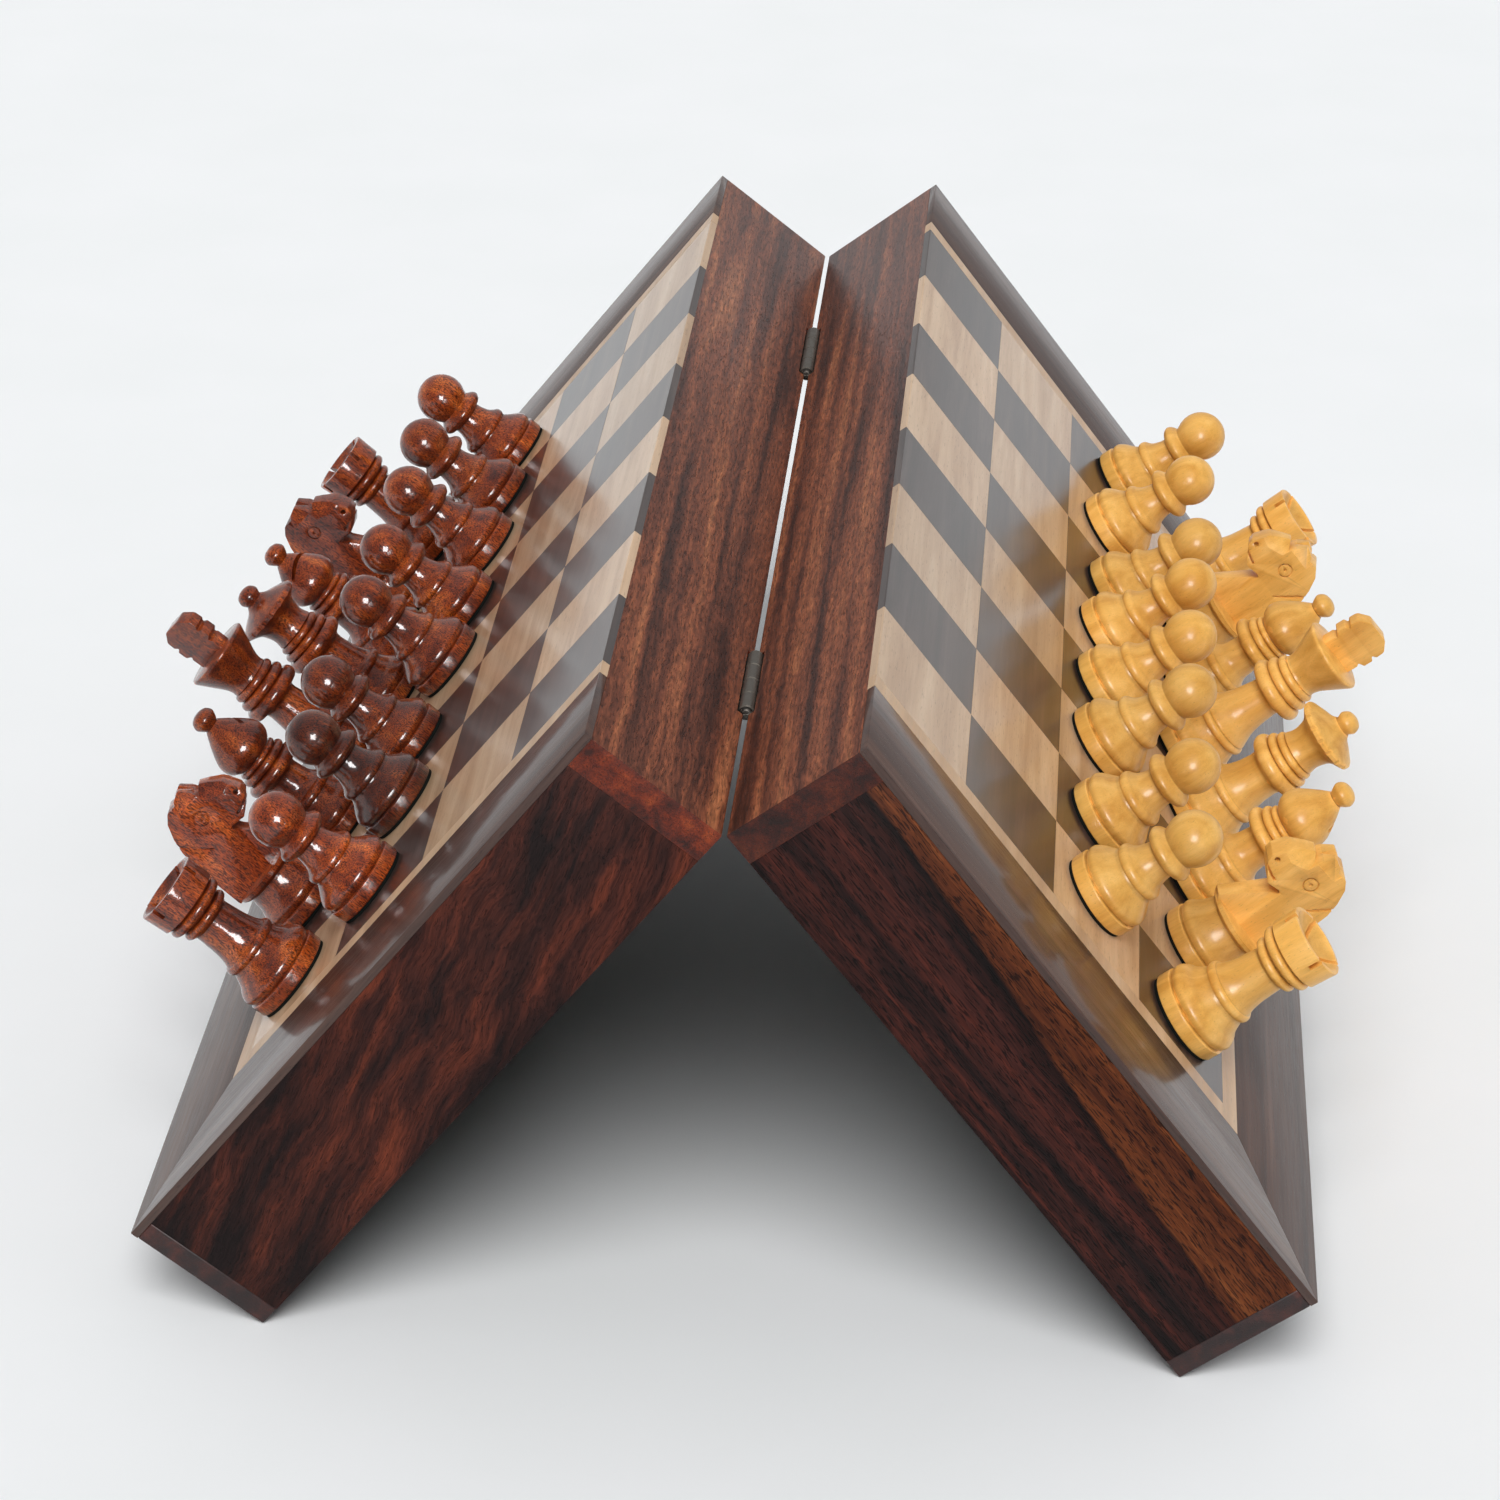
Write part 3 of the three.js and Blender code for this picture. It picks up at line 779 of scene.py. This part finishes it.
def screw(x, y, z):
    """A small countersunk head with a slot, facing down out of the rim."""
    head = Profile(0, 0).line((0.55, 0), (0.95, 0.35), (0.95, 0.45)).flow((0.6, 0.58), (0.02, 0.62))
    mesh = head.line((0, 0.62)).turned(28)
    slot = block((-1.2, -0.14, 0.38), (1.2, 0.14, 1.0))
    mesh = carved(mesh, [spun(slot, 25 + 40 * x + y)])
    return moved(mesh, Matrix.Translation((x, y, z)) @ Matrix.Rotation(math.pi, 4, "X"))


def hinge_leaf(side, end):
    node_name = f"{end}_hinge_{side}_leaf"
    place = PLACES[side]
    low, high = local_box(node_name, place)
    pitch = (high.y - low.y) / 4
    meshes = []
    for k in (0, 2):
        start = low.y + k * pitch
        stop = start + pitch
        meshes.append(knuckle(start + KNUCKLE_PLAY, stop - KNUCKLE_PLAY))
        tab = 2 * KNUCKLE_PLAY
        meshes.append(block((0.4, start + tab, LEAF_LOW), (2.2, stop - tab, LEAF_HIGH)))
    outline = eased([
        (LEAF_INNER, low.y, 0), (high.x, low.y, 0.6), (high.x, high.y, 0.6), (LEAF_INNER, high.y, 0),
    ])
    meshes.append(bevelled(slab(outline, LEAF_LOW, LEAF_HIGH), 0.1, 2, 60))
    for share in (0.2, 0.8):
        meshes.append(screw(SCREW_X, low.y + share * (high.y - low.y), LEAF_HIGH - 0.2))
    add_piece(
        f"{end}_{side}_leaf", smoothed(joined("leaf", meshes)), BLACK_STEEL, place, body_of(side),
        node_name, slot="hinge_steel",
    )


def hinge_pin(end):
    place = PLACES["left"]
    low, high = local_box(f"{end}_hinge_pin", place)
    length = high.y - low.y
    head, tall, shank = 1.25, 0.75, 0.58
    pin = Profile(0, 0).flow((0.7, 0.08), (1.1, 0.35), (head, tall - 0.1)).line(
        (shank, tall), (shank, length - tall), (head, length - tall + 0.1))
    pin = pin.flow((1.1, length - 0.35), (0.7, length - 0.08), (0.0, length)).turned(36)
    mesh = moved(lying(pin), Matrix.Translation((0, low.y, 0)))
    add_piece(
        f"{end}_pin", smoothed(mesh), BLACK_STEEL, place, body_of("left"), f"{end}_hinge_pin",
        slot="hinge_steel",
    )


# ---- chess pieces ----

PAD = 0.25
BAND = 2.9


def foot_band(base):
    """The upright band that every piece stands on, with both edges eased, from the felt up."""
    p = Profile(base - 0.35, PAD)
    p.arc(base, PAD + 0.3, 0.08, 4)
    p.line((base, BAND - 0.3))
    p.arc(base - 0.3, BAND, 0.1, 4)
    return p.line((base - 0.55, BAND + 0.1))


def foot(base, waist, bead, bead_height):
    """Band, groove, dome, waist and bead, from the felt up."""
    p = foot_band(base)
    p.flow((base - 0.18, 3.6), (base - 0.1, 4.5), (base - 0.8, 5.65),
           ((base + waist) / 2 - 0.35, 6.6), (waist + 0.05, bead_height - 1.2))
    p.line((waist - 0.02, bead_height - 0.8))
    p.arc(waist - 0.1, bead_height + 0.85, bead - waist + 0.06)
    return p


def rings(p, *sizes):
    """Round rings on top of each other, each (radius, height of the widest place, half thickness)."""
    depth = 0.75
    for radius, height, half in sizes:
        p.line((radius - depth, height - half))
        p.arc(radius - depth - 0.1, height + half, depth)
    return p


def finial(p, radius, centre, tall):
    """The knob on top."""
    neck = p.points[-1]
    low = centre - tall / 2
    p.flow((neck.x * 0.85, low - 0.1))
    p.flow((radius * 0.82, centre - tall * 0.3), (radius, centre), (radius * 0.78, centre + tall * 0.33),
           (radius * 0.35, centre + tall * 0.48), (0.0, centre + tall / 2))
    return p


def pawn_mesh():
    p = foot(7.8, 5.1, 5.4, 8.9)
    p.flow((4.55, 10.15), (3.97, 11.0), (3.55, 12.4), (3.42, 13.5))
    p.line((3.6, 13.75))
    p.flow((4.55, 14.1), (5.1, 14.75), (5.2, 15.3), (4.85, 15.95), (4.25, 16.45), (3.85, 16.85))
    p.ball(20.2, 4.95)
    return p.turned()


def rook_mesh():
    p = foot(8.35, 5.55, 5.9, 9.6)
    p.flow((5.2, 10.6), (4.75, 11.6), (4.35, 13.5), (4.1, 16.3), (4.0, 17.9))
    rings(p, (5.25, 19.2, 0.8), (6.2, 21.4, 0.85))
    p.line((5.9, 22.5), (6.4, 22.8), (6.6, 27.35))
    p.arc(6.35, 27.6, 0.08, 3)
    p.line((5.75, 27.6))
    p.arc(0.02, 25.0, -0.7, 8)
    body = p.line((0, 25.0)).turned()
    cuts = []
    for turn in (0, 90):
        cuts.append(spun(block((-9, -0.45, 25.3), (9, 0.45, 29)), turn))
    return carved(body, cuts)


def bishop_mesh():
    p = foot(8.15, 5.6, 5.95, 9.3)
    p.flow((5.0, 10.4), (4.3, 11.3), (3.9, 12.4), (3.67, 15.0))
    p.flow((3.95, 15.7), (5.4, 16.15))
    rings(p, (6.3, 17.3, 1.1), (5.4, 19.4, 0.8), (4.7, 20.8, 0.5))
    p.line((3.8, 21.4))
    p.flow((4.5, 21.9), (5.35, 22.9), (5.7, 24.3), (5.2, 26.2), (3.4, 29.0), (1.7, 31.2))
    finial(p, 2.45, 33.0, 3.5)
    body = p.turned()
    cut = block((1.6, -8, -0.42), (9, 8, 0.42))
    cut = moved(cut, Matrix.Translation((0.3, 0, 26.2)) @ Matrix.Rotation(math.radians(-48), 4, "Y"))
    return carved(body, [cut])


def queen_mesh():
    p = foot(8.35, 5.95, 6.35, 9.3)
    p.flow((5.6, 10.3), (5.1, 11.2), (4.5, 13.5), (4.25, 16.3))
    p.flow((4.5, 17.4), (5.5, 18.0))
    rings(p, (6.65, 19.5, 1.3), (5.7, 21.6, 0.8), (5.0, 23.2, 0.75))
    p.line((4.4, 24.2))
    p.flow((4.1, 25.6), (4.25, 27.0), (4.9, 28.6), (6.7, 29.9))
    p.line((7.1, 30.2), (7.1, 30.85), (6.85, 31.15))
    p.flow((4.8, 32.2), (2.9, 33.1), (2.0, 33.9))
    finial(p, 2.3, 35.2, 3.5)
    body = p.turned()
    cuts = []
    count = 16
    for k in range(count):
        notch = Profile(0.55, 29).line((0.55, 32), (0, 32)).turned(12)
        notch = moved(notch, Matrix.Translation((7.42, 0, 0)))
        cuts.append(spun(notch, 360 * k / count))
    return carved(body, cuts)


def cross_mesh():
    """The king's cross: a plate with two arms set off by notches and a round top."""
    half = [
        (4.0, 35.2, 0), (4.0, 37.9, 0.3), (3.5, 38.4, 0.25), (4.7, 39.0, 0.35), (4.7, 40.8, 0.35),
        (3.7, 41.3, 0.25), (4.5, 41.9, 0.35), (4.4, 43.6, 1.0), (2.3, 45.2, 1.4),
    ]
    mirrored = [(-x, z, rounding) for x, z, rounding in reversed(half)]
    plate = bar(eased(half + mirrored, 5), -1.5, 1.5)
    return bevelled(plate, 0.35, 3, 60)


def king_mesh():
    p = foot(8.65, 6.2, 6.75, 9.6)
    p.flow((6.1, 10.9), (5.6, 11.9), (4.8, 13.6), (4.3, 15.5), (4.05, 17.2), (3.75, 19.7))
    p.flow((4.0, 20.6), (5.3, 21.1))
    rings(p, (6.5, 22.4, 1.25), (5.7, 24.7, 0.95), (5.05, 26.6, 0.85))
    p.line((4.35, 27.6))
    p.flow((4.25, 28.3), (4.6, 29.7), (5.5, 31.6), (7.0, 34.7))
    p.line((7.15, 35.1))
    p.arc(6.8, 35.6, 0.12, 4)
    p.line((0, 36.0))
    return joined("king", [p.turned(), cross_mesh()])


EYE = (1.4, 25.8)
FLANK = 3.2


def horse_outline():
    """The side of the horse, (forward, height) corners with their rounding, from the chest up."""
    chest = [(-7.3, 10.6, 0), (7.6, 10.6, 0), (8.3, 11.3, 0.15), (3.0, 20.2, 0.25), (3.6, 20.8, 0.3)]
    jaw = [(6.4, 20.1, 0.6), (8.2, 21.3, 0.4), (9.6, 22.5, 0.4), (10.0, 23.7, 0.5)]
    brow = [(8.9, 27.1, 0.8), (7.2, 28.8, 0.6), (5.7, 30.0, 0.4), (4.3, 28.6, 0.1)]
    ear = [(3.9, 30.2, 0.3), (2.6, 32.2, 0.4), (0.7, 31.6, 0.4), (0.1, 30.9, 0.1)]
    crest = [(-1.6, 31.2, 0.8), (-3.3, 29.9, 0.9), (-4.9, 27.3, 0.9), (-6.0, 24.5, 0.9)]
    back = [(-6.6, 20.4, 0.9), (-7.1, 15.7, 0.9), (-7.4, 11.1, 0)]
    return eased(chest + jaw + brow + ear + crest + back, 3)


def facet(side, flank, ridge):
    """A cutter that takes one flank off outside the plane through a flank line and a ridge line."""
    inner = [Vector((x, side * y, z)) for x, y, z in flank + ridge]
    outer = [Vector((p.x, side * 9, p.z)) for p in inner]
    return hull(inner + outer)


def groove(side, start, end, width, depth):
    """A cutter for a narrow groove in one flank between two (forward, height) points."""
    start, end = Vector(start), Vector(end)
    across = (end - start).orthogonal().normalized() * (width / 2)
    corners = [start + across, start - across, end - across, end + across]
    return hull([(c.x, side * y, c.y) for c in corners for y in (FLANK - depth, FLANK + 2)])


def horse_cutters():
    """Facets of chest, forehead, jaw and ears, the mouth, the mane and the gap of the ears."""
    cutters = []
    for side in (-1, 1):
        cutters.append(facet(
            side, [(1.4, FLANK, 9), (2.9, FLANK, 20.7)], [(10.5, 1.2, 9), (4.2, 1.9, 20.7)],
        ))
        cutters.append(facet(
            side, [(10.6, FLANK, 24.2), (4.3, FLANK, 27.2)], [(10.6, 1.1, 27.6), (4.3, 1.1, 31.2)],
        ))
        cutters.append(facet(
            side, [(7.2, FLANK, 20), (7.6, FLANK, 29)], [(10.6, 2.0, 20), (10.6, 2.0, 29)],
        ))
        cutters.append(facet(
            side, [(4.25, 2.9, 29.2), (-0.6, FLANK, 29.4)], [(4.25, 1.9, 33), (-0.6, 2.3, 33)],
        ))
        cutters.append(groove(side, (6.0, 21.4), (11, 22.2), 0.5, 1.4))
        for k in range(4):
            x, z = -5.5 + 0.75 * k, 26.9 - 1.2 * k
            cutters.append(groove(side, (x - 1.2, z + 0.5), (x + 1.5, z - 2.6), 0.26, 0.35))
    ears = hull([
        (0.3, 0, 30.1), (5, 0, 29.6), (0.3, -1.2, 33), (0.3, 1.2, 33), (5, -1.2, 33), (5, 1.2, 33),
    ])
    cutters.append(ears)
    return cutters


def ring_cutter(side, big, small, depth):
    """A cutter for a round groove about the eye."""
    out, floor_y = side * (FLANK + 1), side * (FLANK - depth)
    return ring([(small, out), (big, out), (big, floor_y), (small, floor_y)], 32, EYE)


def hole_cutter(side, place, radius, floor):
    """A cutter for a small blind hole in one flank."""
    hole = Profile(radius * 0.5, 0).line((radius, radius * 0.6), (radius, 4), (0, 4)).turned(14)
    hole = moved(hole, Matrix.Rotation(-side * math.pi / 2, 4, "X"))
    return moved(hole, Matrix.Translation((place[0], side * floor, place[1])))


def drilled(side):
    """Ring and dot of one eye, and the nostril."""
    return [
        ring_cutter(side, 1.5, 1.22, 0.3), hole_cutter(side, EYE, 0.36, FLANK - 0.35),
        hole_cutter(side, (9.0, 24.0), 0.5, 1.3),
    ]


def knight_mesh():
    p = foot_band(8.1)
    p.flow((7.92, 3.6), (8.0, 4.5), (7.3, 5.65), (6.75, 6.9), (6.35, 8.6), (6.3, 9.4))
    p.line((7.0, 9.75), (7.5, 10.2), (7.6, 11.0), (0, 11.4))
    horse = carved(bar(horse_outline(), -FLANK, FLANK), horse_cutters())
    horse = carved(horse, drilled(1) + drilled(-1))
    return joined("knight", [p.turned(), bevelled(horse, 0.13, 2, 28)])


MESHES = {
    "pawn": pawn_mesh, "rook": rook_mesh, "knight": knight_mesh, "bishop": bishop_mesh,
    "queen": queen_mesh, "king": king_mesh,
}
PAD_RADIUS = {"pawn": 7.55, "rook": 8.1, "knight": 7.85, "bishop": 7.9, "queen": 8.1, "king": 8.4}
TURNS = {
    "dark_rook_1": 12, "dark_knight_1": -12, "dark_bishop_1": 115, "dark_king": 22,
    "dark_bishop_2": 200, "dark_knight_2": 4, "dark_rook_2": 40, "light_rook_1": 5,
    "light_knight_1": 8, "light_bishop_1": 30, "light_king": 6, "light_bishop_2": 30,
    "light_knight_2": -6, "light_rook_2": 25,
}
DARK_TONES = (tone(88, 29, 8), tone(128, 48, 12), tone(160, 68, 18), tone(198, 98, 34))
LIGHT_TONES = (tone(214, 153, 68), tone(227, 169, 82), tone(236, 180, 93), tone(244, 191, 106))
POLISH = {
    "dark": {"coat": 0.9, "coat_roughness": 0.09, "pores": 0.75, "pore_limit": 0.5, "contrast": 0.34},
    "light": {"coat": 0.3, "coat_roughness": 0.2, "pores": 0.25, "pore_limit": 0.68, "contrast": 0.04},
}
SHADES = {"dark_pawn_1": 1.25, "dark_pawn_2": 0.42, "dark_pawn_3": 0.7, "dark_king": 0.95}


def darker(colour, factor):
    return tuple(channel * factor for channel in colour[:3]) + (1.0,)


def man_wood(name, seed):
    chance = random.Random(seed * 7 + 3)
    factor = SHADES.get(name, chance.uniform(0.85, 1.1))
    if name.startswith("dark"):
        tones = [darker(colour, factor) for colour in DARK_TONES]
        return turned_wood(name + "_wood", tones, seed, **POLISH["dark"])
    tones = [darker(colour, min(factor, 1.0)) for colour in LIGHT_TONES]
    return turned_wood(name + "_wood", tones, seed, **POLISH["light"])


def man_place(name, side):
    """The frame of a piece: its origin in the middle of its foot, its Z up the piece."""
    points = local_points(name, PLACES[side])
    low = min(p.z for p in points)
    rim = [p for p in points if p.z < low + 0.05]
    middle = Vector((
        (min(p.x for p in rim) + max(p.x for p in rim)) / 2,
        (min(p.y for p in rim) + max(p.y for p in rim)) / 2,
        low,
    ))
    turn = -TURNS.get(name, 0) if side == "left" else TURNS.get(name, 0)
    facing = 180 + turn if "knight" in name else turn
    return (
        PLACES[side] @ Matrix.Translation(middle * MM) @ Matrix.Rotation(math.radians(facing), 4, "Z")
    )


def men(side, colour):
    made = {kind: smoothed(build()) for kind, build in MESHES.items()}
    names = sorted(n for n in frame["nodes"] if n.startswith(colour + "_"))
    for seed, name in enumerate(names):
        kind = name.split("_")[1]
        place = man_place(name, side)
        add_piece(
            name + "_turned", made[kind].copy(), man_wood(name, seed + len(colour)), place, name,
            name, slot=colour + "_men_wood",
        )
        pad = Profile(PAD_RADIUS[kind], -0.28).line((PAD_RADIUS[kind], PAD + 0.02), (0, PAD + 0.02))
        add_piece(name + "_felt", smoothed(pad.turned(64)), PAD_FELT, place, name, slot="felt")


# ---- studio ----

SKY_STRENGTH = 0.58
SOFT_DISTANCE = 2.0
SOFT_HEIGHT = math.radians(54)
SOFT_ANGLE = math.radians(36)
SOFT_STRENGTH = 2.42
GLINT_SIZE = 0.34
GLINT_POWER = 9
CAMERA_FROM_HINGE = Vector((0.0484, -0.6001, 0.3362))
CAMERA_HEADING = 4.24
CAMERA_PITCH = -28.04
CAMERA_ROLL = 0.873
LENS = 103.6


def floor():
    s = Shading("floor_paper", 0.9, Specular_IOR_Level=0.1)
    spot = s.millimetres()
    mottle = s.noise(s.stretched(spot, (0.02, 0.02, 0.02)), 3.0)
    colour = s.ramp(mottle, (0.3, (0.86, 0.875, 0.88, 1)), (0.7, (0.88, 0.89, 0.9, 1)))
    material = s.done(colour, s.noise(s.stretched(spot, (2, 2, 2)), 2.0), 0.01)
    mesh = slab([(-4000, -4000), (4000, -4000), (4000, 6000), (-4000, 6000)], -20, 0)
    mesh.transform(Matrix.Scale(MM, 4))
    mesh.materials.append(material)
    ground = bpy.data.objects.new("floor", mesh)
    bpy.context.scene.collection.objects.link(ground)


def world():
    """A white room: bright behind and beside the set, dim towards the viewer's side."""
    sky = bpy.data.worlds.new("studio")
    bpy.context.scene.world = sky
    sky.use_nodes = True
    tree = sky.node_tree
    background = tree.nodes["Background"]
    direction = tree.nodes.new("ShaderNodeTexCoord").outputs["Generated"]
    split = tree.nodes.new("ShaderNodeSeparateXYZ")
    tree.links.new(direction, split.inputs[0])
    ramp = tree.nodes.new("ShaderNodeMapRange")
    ramp.inputs["From Min"].default_value = -0.8
    ramp.inputs["From Max"].default_value = 0.3
    ramp.inputs["To Min"].default_value = 0.1
    ramp.inputs["To Max"].default_value = SKY_STRENGTH
    tree.links.new(split.outputs[1], ramp.inputs["Value"])
    tree.links.new(ramp.outputs[0], background.inputs["Strength"])
    background.inputs["Color"].default_value = (0.97, 0.985, 1.0, 1)


def lamp(name, kind, place, target):
    data = bpy.data.lights.new(name, kind)
    made = bpy.data.objects.new(name, data)
    bpy.context.scene.collection.objects.link(made)
    made.location = place
    made.rotation_euler = (Vector(target) - Vector(place)).to_track_quat("-Z", "Y").to_euler()
    return made


def lights(eye):
    """A wide soft light from above the viewer, and the glint of a square window beside them."""
    place = (0.03, -SOFT_DISTANCE * math.cos(SOFT_HEIGHT), SOFT_DISTANCE * math.sin(SOFT_HEIGHT))
    soft = lamp("soft", "SUN", place, (0, 0, 0))
    soft.data.energy = SOFT_STRENGTH
    soft.data.angle = SOFT_ANGLE
    soft.visible_glossy = False
    glint = lamp("glint", "AREA", eye + Vector((0, -0.1, 0.06)), (0, 0, 0.05))
    glint.data.shape = "SQUARE"
    glint.data.size = GLINT_SIZE
    glint.data.energy = GLINT_POWER
    glint.visible_diffuse = False


def camera():
    """Looks along the hinge line from the near end, a little from the right and from above."""
    data = bpy.data.cameras.new("camera")
    data.lens = LENS
    data.sensor_width = 36
    view = bpy.data.objects.new("camera", data)
    bpy.context.scene.collection.objects.link(view)
    near_end = Vector((hinge.x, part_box("right_spine_wall")[0].y, hinge.z))
    turn = (
        Matrix.Rotation(math.radians(CAMERA_HEADING), 4, "Z")
        @ Matrix.Rotation(math.radians(90 + CAMERA_PITCH), 4, "X")
        @ Matrix.Rotation(math.radians(CAMERA_ROLL), 4, "Z")
    )
    view.matrix_world = Matrix.Translation(near_end + CAMERA_FROM_HINGE) @ turn
    bpy.context.scene.camera = view
    return view


# ---- build ----

PANEL_WOOD = timber("panel_wood", PLY, "Y", contrast=0.15, pores=0.2, roughness=0.65, depth=0.03)
ZINC = steel("zinc_steel", tone(176, 178, 182), 0.35, tone(225, 225, 225))
BLACK_STEEL = steel("black_steel", tone(62, 58, 54), 0.42, tone(150, 142, 132))
FELT = felt("lining_felt", tone(38, 52, 40))
PAD_FELT = felt("pad_felt", tone(18, 22, 19))
DARK_TILE = square_wood("dark_square_wood", DARK_SQUARE, 0.12, 3.0)
LIGHT_TILE = square_wood("light_square_wood", MAPLE, 0.05, 8.0)
INLAY = timber("inlay_wood", MAPLE, "Y", contrast=0.06, pores=0.15, roughness=0.35, depth=0.01)
END_BORDER = {
    side: border_wood(side + "_end_border_wood", "X", (10 * k, 20, 5)) for k, side in enumerate(SIDES)
}
SIDE_BORDER = {
    side: border_wood(side + "_side_border_wood", "Y", (30 * k, 7, 5)) for k, side in enumerate(SIDES)
}

left_wood = left_end_wood()
right_wood = right_end_wood(*local_box("right_near_end_wall", PLACES["right"]))
dark_wall = timber(
    "outer_wall_wood", BLACK_ROSEWOOD, "Y", band=(4, 120), contrast=0.3, roughness=0.42, depth=0.05,
)
for half, wood in (("left", left_wood), ("right", right_wood)):
    spine_wall(half)
    outer_wall(half, dark_wall)
    end_wall(half, "near", wood)
    end_wall(half, "far", wood)
    tray_inside(half)
    squares(half)
    inlay_and_border(half)
    for end in ("near", "far"):
        hinge_leaf(half, end)
for end in ("near", "far"):
    hinge_pin(end)
men("left", "dark")
men("right", "light")

floor()
world()
view = camera()
lights(view.location)
bpy.context.scene.view_settings.view_transform = "Standard"
